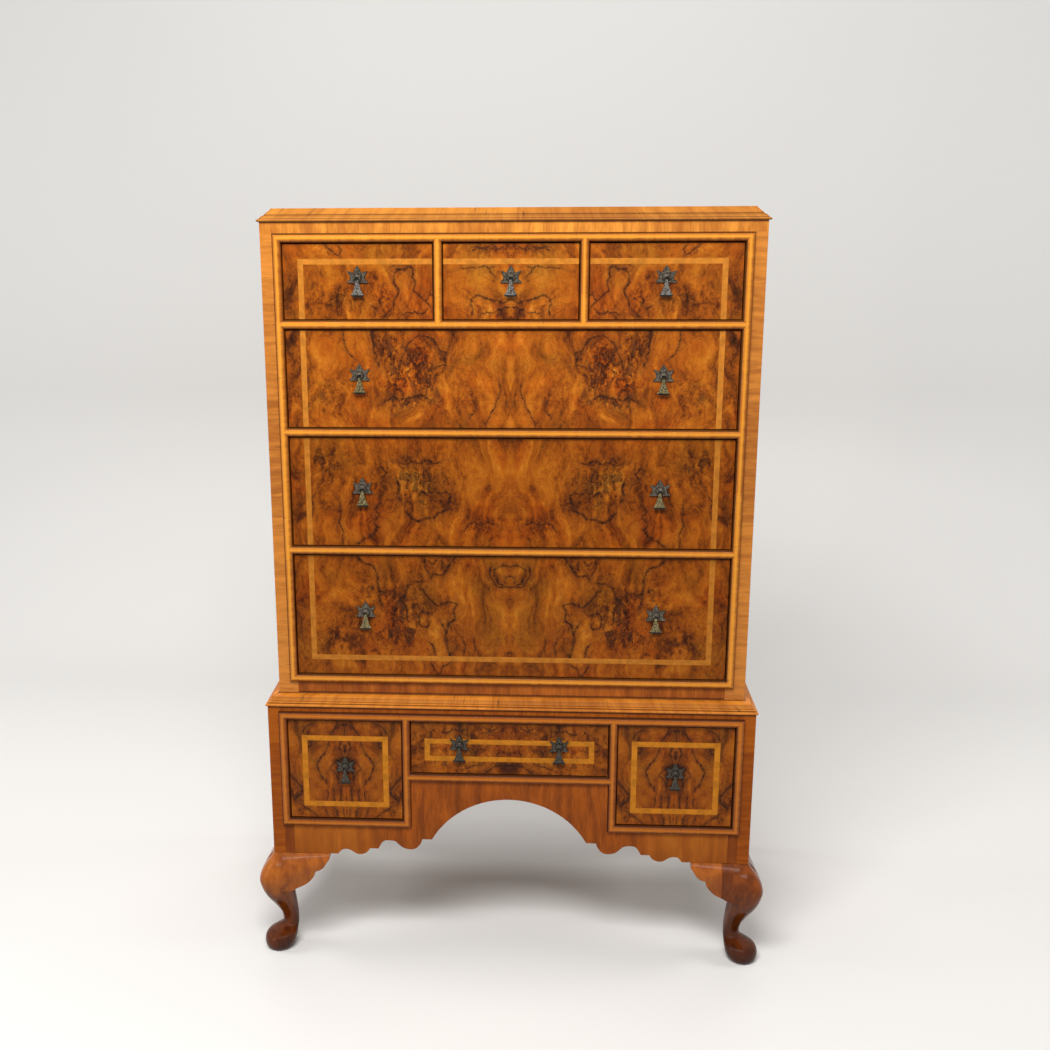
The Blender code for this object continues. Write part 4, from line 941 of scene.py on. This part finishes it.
def ear_mesh(name, sign, label):
    """Upright rings along an ear, whose face swells out by a sine of the depth under the stand."""
    length, deepest, thick, swollen = 0.109, 0.070, 0.022, 0.052
    curves = [smooth_through(half, 4) for half in (EAR_SHARES[:5], EAR_SHARES[5:])]
    share, deep = np.concatenate(curves).T[..., None]
    swell = 0.30 + 0.70 * share
    down = deepest * deep * np.linspace(0, 1, 13)
    face = KNEE * swell * np.sin(np.pi / 2 * np.minimum(1, down / (swollen * swell)))
    back = np.full_like(share, -thick)
    out = np.hstack([back, face, back])
    along = length * (1 - share) + 0 * out
    up = STAND_LOW - HAIR - np.hstack([0 * deep, down, deepest * deep])
    if label == "front":
        x, y = STAND_HALF - along, STAND_FRONT - out
    else:
        x, y = STAND_HALF + out, STAND_FRONT + along
    return swept(name, np.stack([sign * x, y, up], -1), crease=40.0)


for sign, word in SIDES:
    name = "leg_" + word
    piece(name, leg_mesh(sign, name), leg_finish, "carcass", "front_leg_" + word)
    for label in ("front", "side"):
        name = f"ear_{label}_{word}"
        piece(name, ear_mesh(name, sign, label), leg_finish, edge=0.0006)

# Pulls: the pin is out from the drawer's face and up from the plate's foot. The outlines are in millimetres
# about it: the right half of a plate, and a drop's half widths down its middle
PIN_OUT, PIN_UP = 0.0065, 0.0085
PLATE = (
    (0.0, -8.5), (9.2, -8.5), (18.4, -8.5), (18.5, -7.6), (17.2, -5.3), (14.4, -3.4), (13.2, 0.0), (13.6, 3.2),
    (15.0, 6.8), (17.9, 11.9), (15.6, 11.9), (12.9, 11.0), (10.2, 9.6), (7.8, 8.9), (6.6, 10.6), (5.5, 13.2),
    (3.9, 16.0), (2.6, 17.9), (1.2, 20.2), (0.0, 21.0),
)
DROP = (
    (1.9, 1.6), (2.5, 1.0), (2.6, -0.6), (2.6, -4.0), (2.7, -7.0), (3.3, -9.0), (4.3, -12.0), (5.2, -16.0),
    (6.4, -20.0), (8.0, -24.0), (9.6, -27.0), (11.3, -28.6), (11.2, -30.4), (9.0, -31.6), (6.0, -32.2),
    (3.0, -32.0),
)
BOSS, COLLAR = 0.0080, 0.0086


def ridge(distance, width, power=2):
    """e to the minus distance in widths, to a power: 1 on the ridge and 0 away from it."""
    return np.exp(-((distance / width) ** power))


def plate_mesh(name, x, face, z):
    """A plate in rings about its pin, with ribs fanned out, a raised rim, a collar and a slotted, domed boss."""
    right = np.array(PLATE) / 1000
    outline = np.concatenate([right, right[-2:0:-1] * (-1, 1)])
    sides = zip(outline, np.roll(outline, -1, 0))
    outline = np.concatenate([np.linspace(a, b, 4, endpoint=False) for a, b in sides])
    shares = np.concatenate([np.linspace(0.02, 0.94, 30), [0.97, 0.99, 1.0]])[:, None, None]
    across, up = np.moveaxis(outline[None] * shares, -1, 0)
    share = shares[..., 0] + 0 * across
    away = np.hypot(across, up - 0.001)
    ribs = 0.00045 * abs(np.cos(np.arctan2(up, across) * 4.5 + 0.7)) * np.clip(share - 0.35, 0, 0.4) / 0.4
    height = 0.0018 + ribs + 0.0007 * ridge(share - 0.93, 0.05) + 0.0008 * ridge(away - COLLAR, 0.0007)
    dome = np.sqrt(np.clip(BOSS**2 - away**2, 0, None)) + 0.0026 * (away < BOSS)
    slot = (abs(across) < 0.0034) & (up < 0.0022) & (away < 0.0084)
    height = np.where(slot, 0.0024, np.maximum(height, dome))
    height = np.where(share > 0.985, 0.0006, height)
    front = np.stack([x + across, face - HAIR - height, z + up], -1)
    back = np.stack([x + across[-1], np.full(len(outline), face - HAIR), z + up[-1]], -1)
    return swept(name, np.concatenate([front, back[None]]), crease=50.0)


def drop_mesh(name, x, pin_y, z):
    """A drop: level rings from the pin down, each a flattened round, parted below by a widening groove."""
    half, up = smooth_through(np.array(DROP) / 1000, 4).T[..., None]
    turn = np.linspace(0, 2 * np.pi, 48, endpoint=False)
    across = np.cos(turn)
    parting = 0.0036 * np.clip((-up - 0.017) / 0.013, 0.01, 1)
    groove = ridge(half * across, parting, 4) * (up < -0.017)
    thick = 0.0013 * np.sign(np.sin(turn)) * abs(np.sin(turn)) ** 0.55 * (1 - 0.75 * groove)
    notch = 0.0016 * ridge(across, 0.22) * (up < -0.0310)
    return swept(name, np.stack([x + half * across, pin_y - thick, z + up + notch], -1), crease=50.0)


def pin_mesh(name, x, pin_y, z):
    """The pin inside the boss: a round of 1.2 mm along X."""
    turn = np.linspace(0, 2 * np.pi, 16, endpoint=False)
    rings = []
    for place, radius in ((-0.0055, 0.0009), (-0.0052, 0.0012), (0.0052, 0.0012), (0.0055, 0.0009)):
        ring = [np.full(16, x + place), pin_y + radius * np.cos(turn), z + radius * np.sin(turn)]
        rings.append(np.stack(ring, -1))
    return swept(name, rings)


def coat(node, paint):
    """A solid that stays in the scene gets a finish."""
    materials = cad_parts[node].data.materials
    materials.clear()
    materials.append(paint.material)


def drawer(name, paint, pulls, plate_cast, drop_cast):
    """A drawer's core, its burr face and its pulls, at the places of its solids."""
    low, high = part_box(name + "_front")
    body = name + "_drawer"
    across, up, seam = (low.x, high.x), (low.z, high.z), low.y + VENEER
    board(name + "_core", across, (seam, high.y), up, oak_bare, body, edge=0.0003)
    board(name + "_face", across, (low.y, seam), up, paint, body, name + "_front", 0.0005)
    coat(name + "_tray", oak_bare)
    for label in pulls:
        plate, drop, swing = (name + label + part for part in ("_plate", "_drop", "_pull"))
        plate_low, plate_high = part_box(plate)
        x, y, z = (plate_low.x + plate_high.x) / 2, low.y - PIN_OUT, plate_low.z + PIN_UP
        piece(plate + "_cast", plate_mesh(plate, x, low.y, z), plate_cast, body, plate)
        piece(drop + "_cast", drop_mesh(drop, x, y, z), drop_cast, swing, drop)
        piece(drop + "_pin", pin_mesh(drop + "_pin", x, y, z), dark_bronze, swing)


ONE, TWO = ("",), ("_left", "_right")
for word in ("left", "middle", "right"):
    drawer("small_" + word, small_veneer, ONE, bronze, silver_drop)
drawer("long_upper", upper_veneer, TWO, bronze, gilt_drop)
drawer("long_middle", middle_veneer, TWO, bronze, gilt_drop)
drawer("long_lower", lower_veneer, TWO, bronze, gilt_drop)
drawer("deep_left", deep_veneer, ONE, dark_bronze, dark_drop)
drawer("deep_right", deep_veneer, ONE, dark_bronze, dark_drop)
drawer("shallow", shallow_veneer, TWO, dark_bronze, dark_drop)
coat("upper_back", back_bare)
coat("stand_back", back_bare)

# The studio's colours, to the eye and to bounced light
PALE_PAPER, DIM_PAPER = (0.84, 0.825, 0.80), (0.38, 0.37, 0.36)
PALE_AIR, DIM_AIR = (0.70, 0.69, 0.67), (0.120, 0.118, 0.114)


def straight(paint):
    """1 where the camera, a reflection or a refraction looks, and 0 where light is bounced."""
    rays = [paint.add("LightPath", out=f"Is {ray} Ray") for ray in ("Camera", "Glossy", "Transmission")]
    return paint.maths("MINIMUM", sum(rays), 1.0)


def studio():
    """A pale floor that curves up into a backdrop and fades into pale air 2 to 4 m away."""
    profile = [(-6.0, 0.0), (1.2, 0.0)]
    turn = np.linspace(0, np.pi / 2, 16)
    profile += [(1.2 + 0.8 * math.sin(t), 0.8 - 0.8 * math.cos(t)) for t in turn[1:]]
    profile += [(2.0, 6.0)]
    points = [(x, y, z) for x in (-7.0, 7.0) for y, z in profile]
    count = len(profile)
    faces = [(i, i + count, i + count + 1, i + 1) for i in range(count - 1)]
    mesh = bpy.data.meshes.new("backdrop")
    mesh.from_pydata(points, [], faces)
    mesh.polygons.foreach_set("use_smooth", np.ones(len(mesh.polygons), bool))
    floor = bpy.data.objects.new("backdrop", mesh)
    bpy.context.scene.collection.objects.link(floor)
    paint = Paint("backdrop_paper", "")
    colour = paint.mix(straight(paint), DIM_PAPER, PALE_PAPER)
    paper = paint.add("BsdfDiffuse", None, {"Color": colour})
    far = paint.step(paint.vector("LENGTH", paint.place, out="Value"), 2.0, 4.0)
    fading = paint.add("MixShader", None, {0: far, 1: paper, 2: paint.add("BsdfTransparent")})
    paint.add("OutputMaterial", None, {"Surface": fading})
    mesh.materials.append(paint.material)
    air = Paint("", "", bpy.data.worlds.new("studio_air"))
    colour = air.mix(straight(air), DIM_AIR, PALE_AIR)
    air.add("OutputWorld", None, {"Surface": air.add("Background", None, {"Color": colour})})
    bpy.context.scene.world = air.material


def lamp(name, place, target, size, power, shows=True):
    """An area lamp turned to a target. The camera never sees it, and reflections do if it shows."""
    light = bpy.data.lights.new(name, "AREA")
    light.shape = "RECTANGLE"
    light.size, light.size_y = size
    light.energy = power
    made = bpy.data.objects.new(name, light)
    bpy.context.scene.collection.objects.link(made)
    back = Vector(place) - Vector(target)
    made.matrix_world = Matrix.Translation(place) @ back.to_track_quat("Z", "Y").to_matrix().to_4x4()
    made.visible_camera = False
    made.visible_glossy = shows


studio()
lamp("key", (-0.4, -1.8, 2.9), (0, 0, 0.8), (1.6, 0.8), 68, False)
lamp("fill", (0.6, -3.0, 1.5), (0, 0, 0.8), (2.0, 1.5), 9, False)
lamp("strip_near", (0, -1.35, 2.55), (0, -0.2, 0.9), (2.6, 0.10), 7)
lamp("strip_far", (0, -2.3, 2.75), (0, -0.2, 0.9), (2.6, 0.10), 6)
lamp("strip_side", (-1.9, -1.3, 1.1), (0, -0.2, 0.9), (0.10, 1.8), 5)
lamp("left", (-3.4, 0.2, 2.0), (0, 0, 0.8), (1.6, 1.6), 44, False)
lamp("right", (3.4, 0.2, 2.0), (0, 0, 0.8), (1.6, 1.6), 44, False)
lamp("behind", (0, 1.7, 3.0), (0, 0.2, 0.6), (3.0, 0.8), 26, False)
scene = bpy.context.scene
scene.view_settings.view_transform = "Standard"

# The camera as fitted to the picture: focal length and middle in its pixels, then place and turns
FOCAL, MIDDLE, PIXELS = 1254.84, 469.787, 1050
CAMERA_PLACE = (0.06103, -2.40653, 1.41661)
PITCH, YAW, ROLL = 0.24595, -0.06066, -0.00498
lens = bpy.data.cameras.new("camera")
lens.sensor_width = 36
lens.lens = FOCAL / PIXELS * lens.sensor_width
lens.shift_x = (PIXELS / 2 - MIDDLE) / PIXELS
camera = bpy.data.objects.new("camera", lens)
scene.collection.objects.link(camera)
camera.location = CAMERA_PLACE


def camera_turn(pitch, yaw, roll):
    """The camera's axes: right, up and back as columns, from its pitch, yaw and roll."""
    level = Matrix(((1, 0, 0), (0, 0, -1), (0, 1, 0)))
    turns = [Matrix.Rotation(angle, 3, axis) for angle, axis in ((roll, "Z"), (pitch, "X"), (yaw, "Z"))]
    rows = turns[0] @ turns[1] @ level @ turns[2]
    return Matrix((rows[0], -rows[1], -rows[2])).transposed()


camera.rotation_euler = camera_turn(PITCH, YAW, ROLL).to_euler()
scene.camera = camera
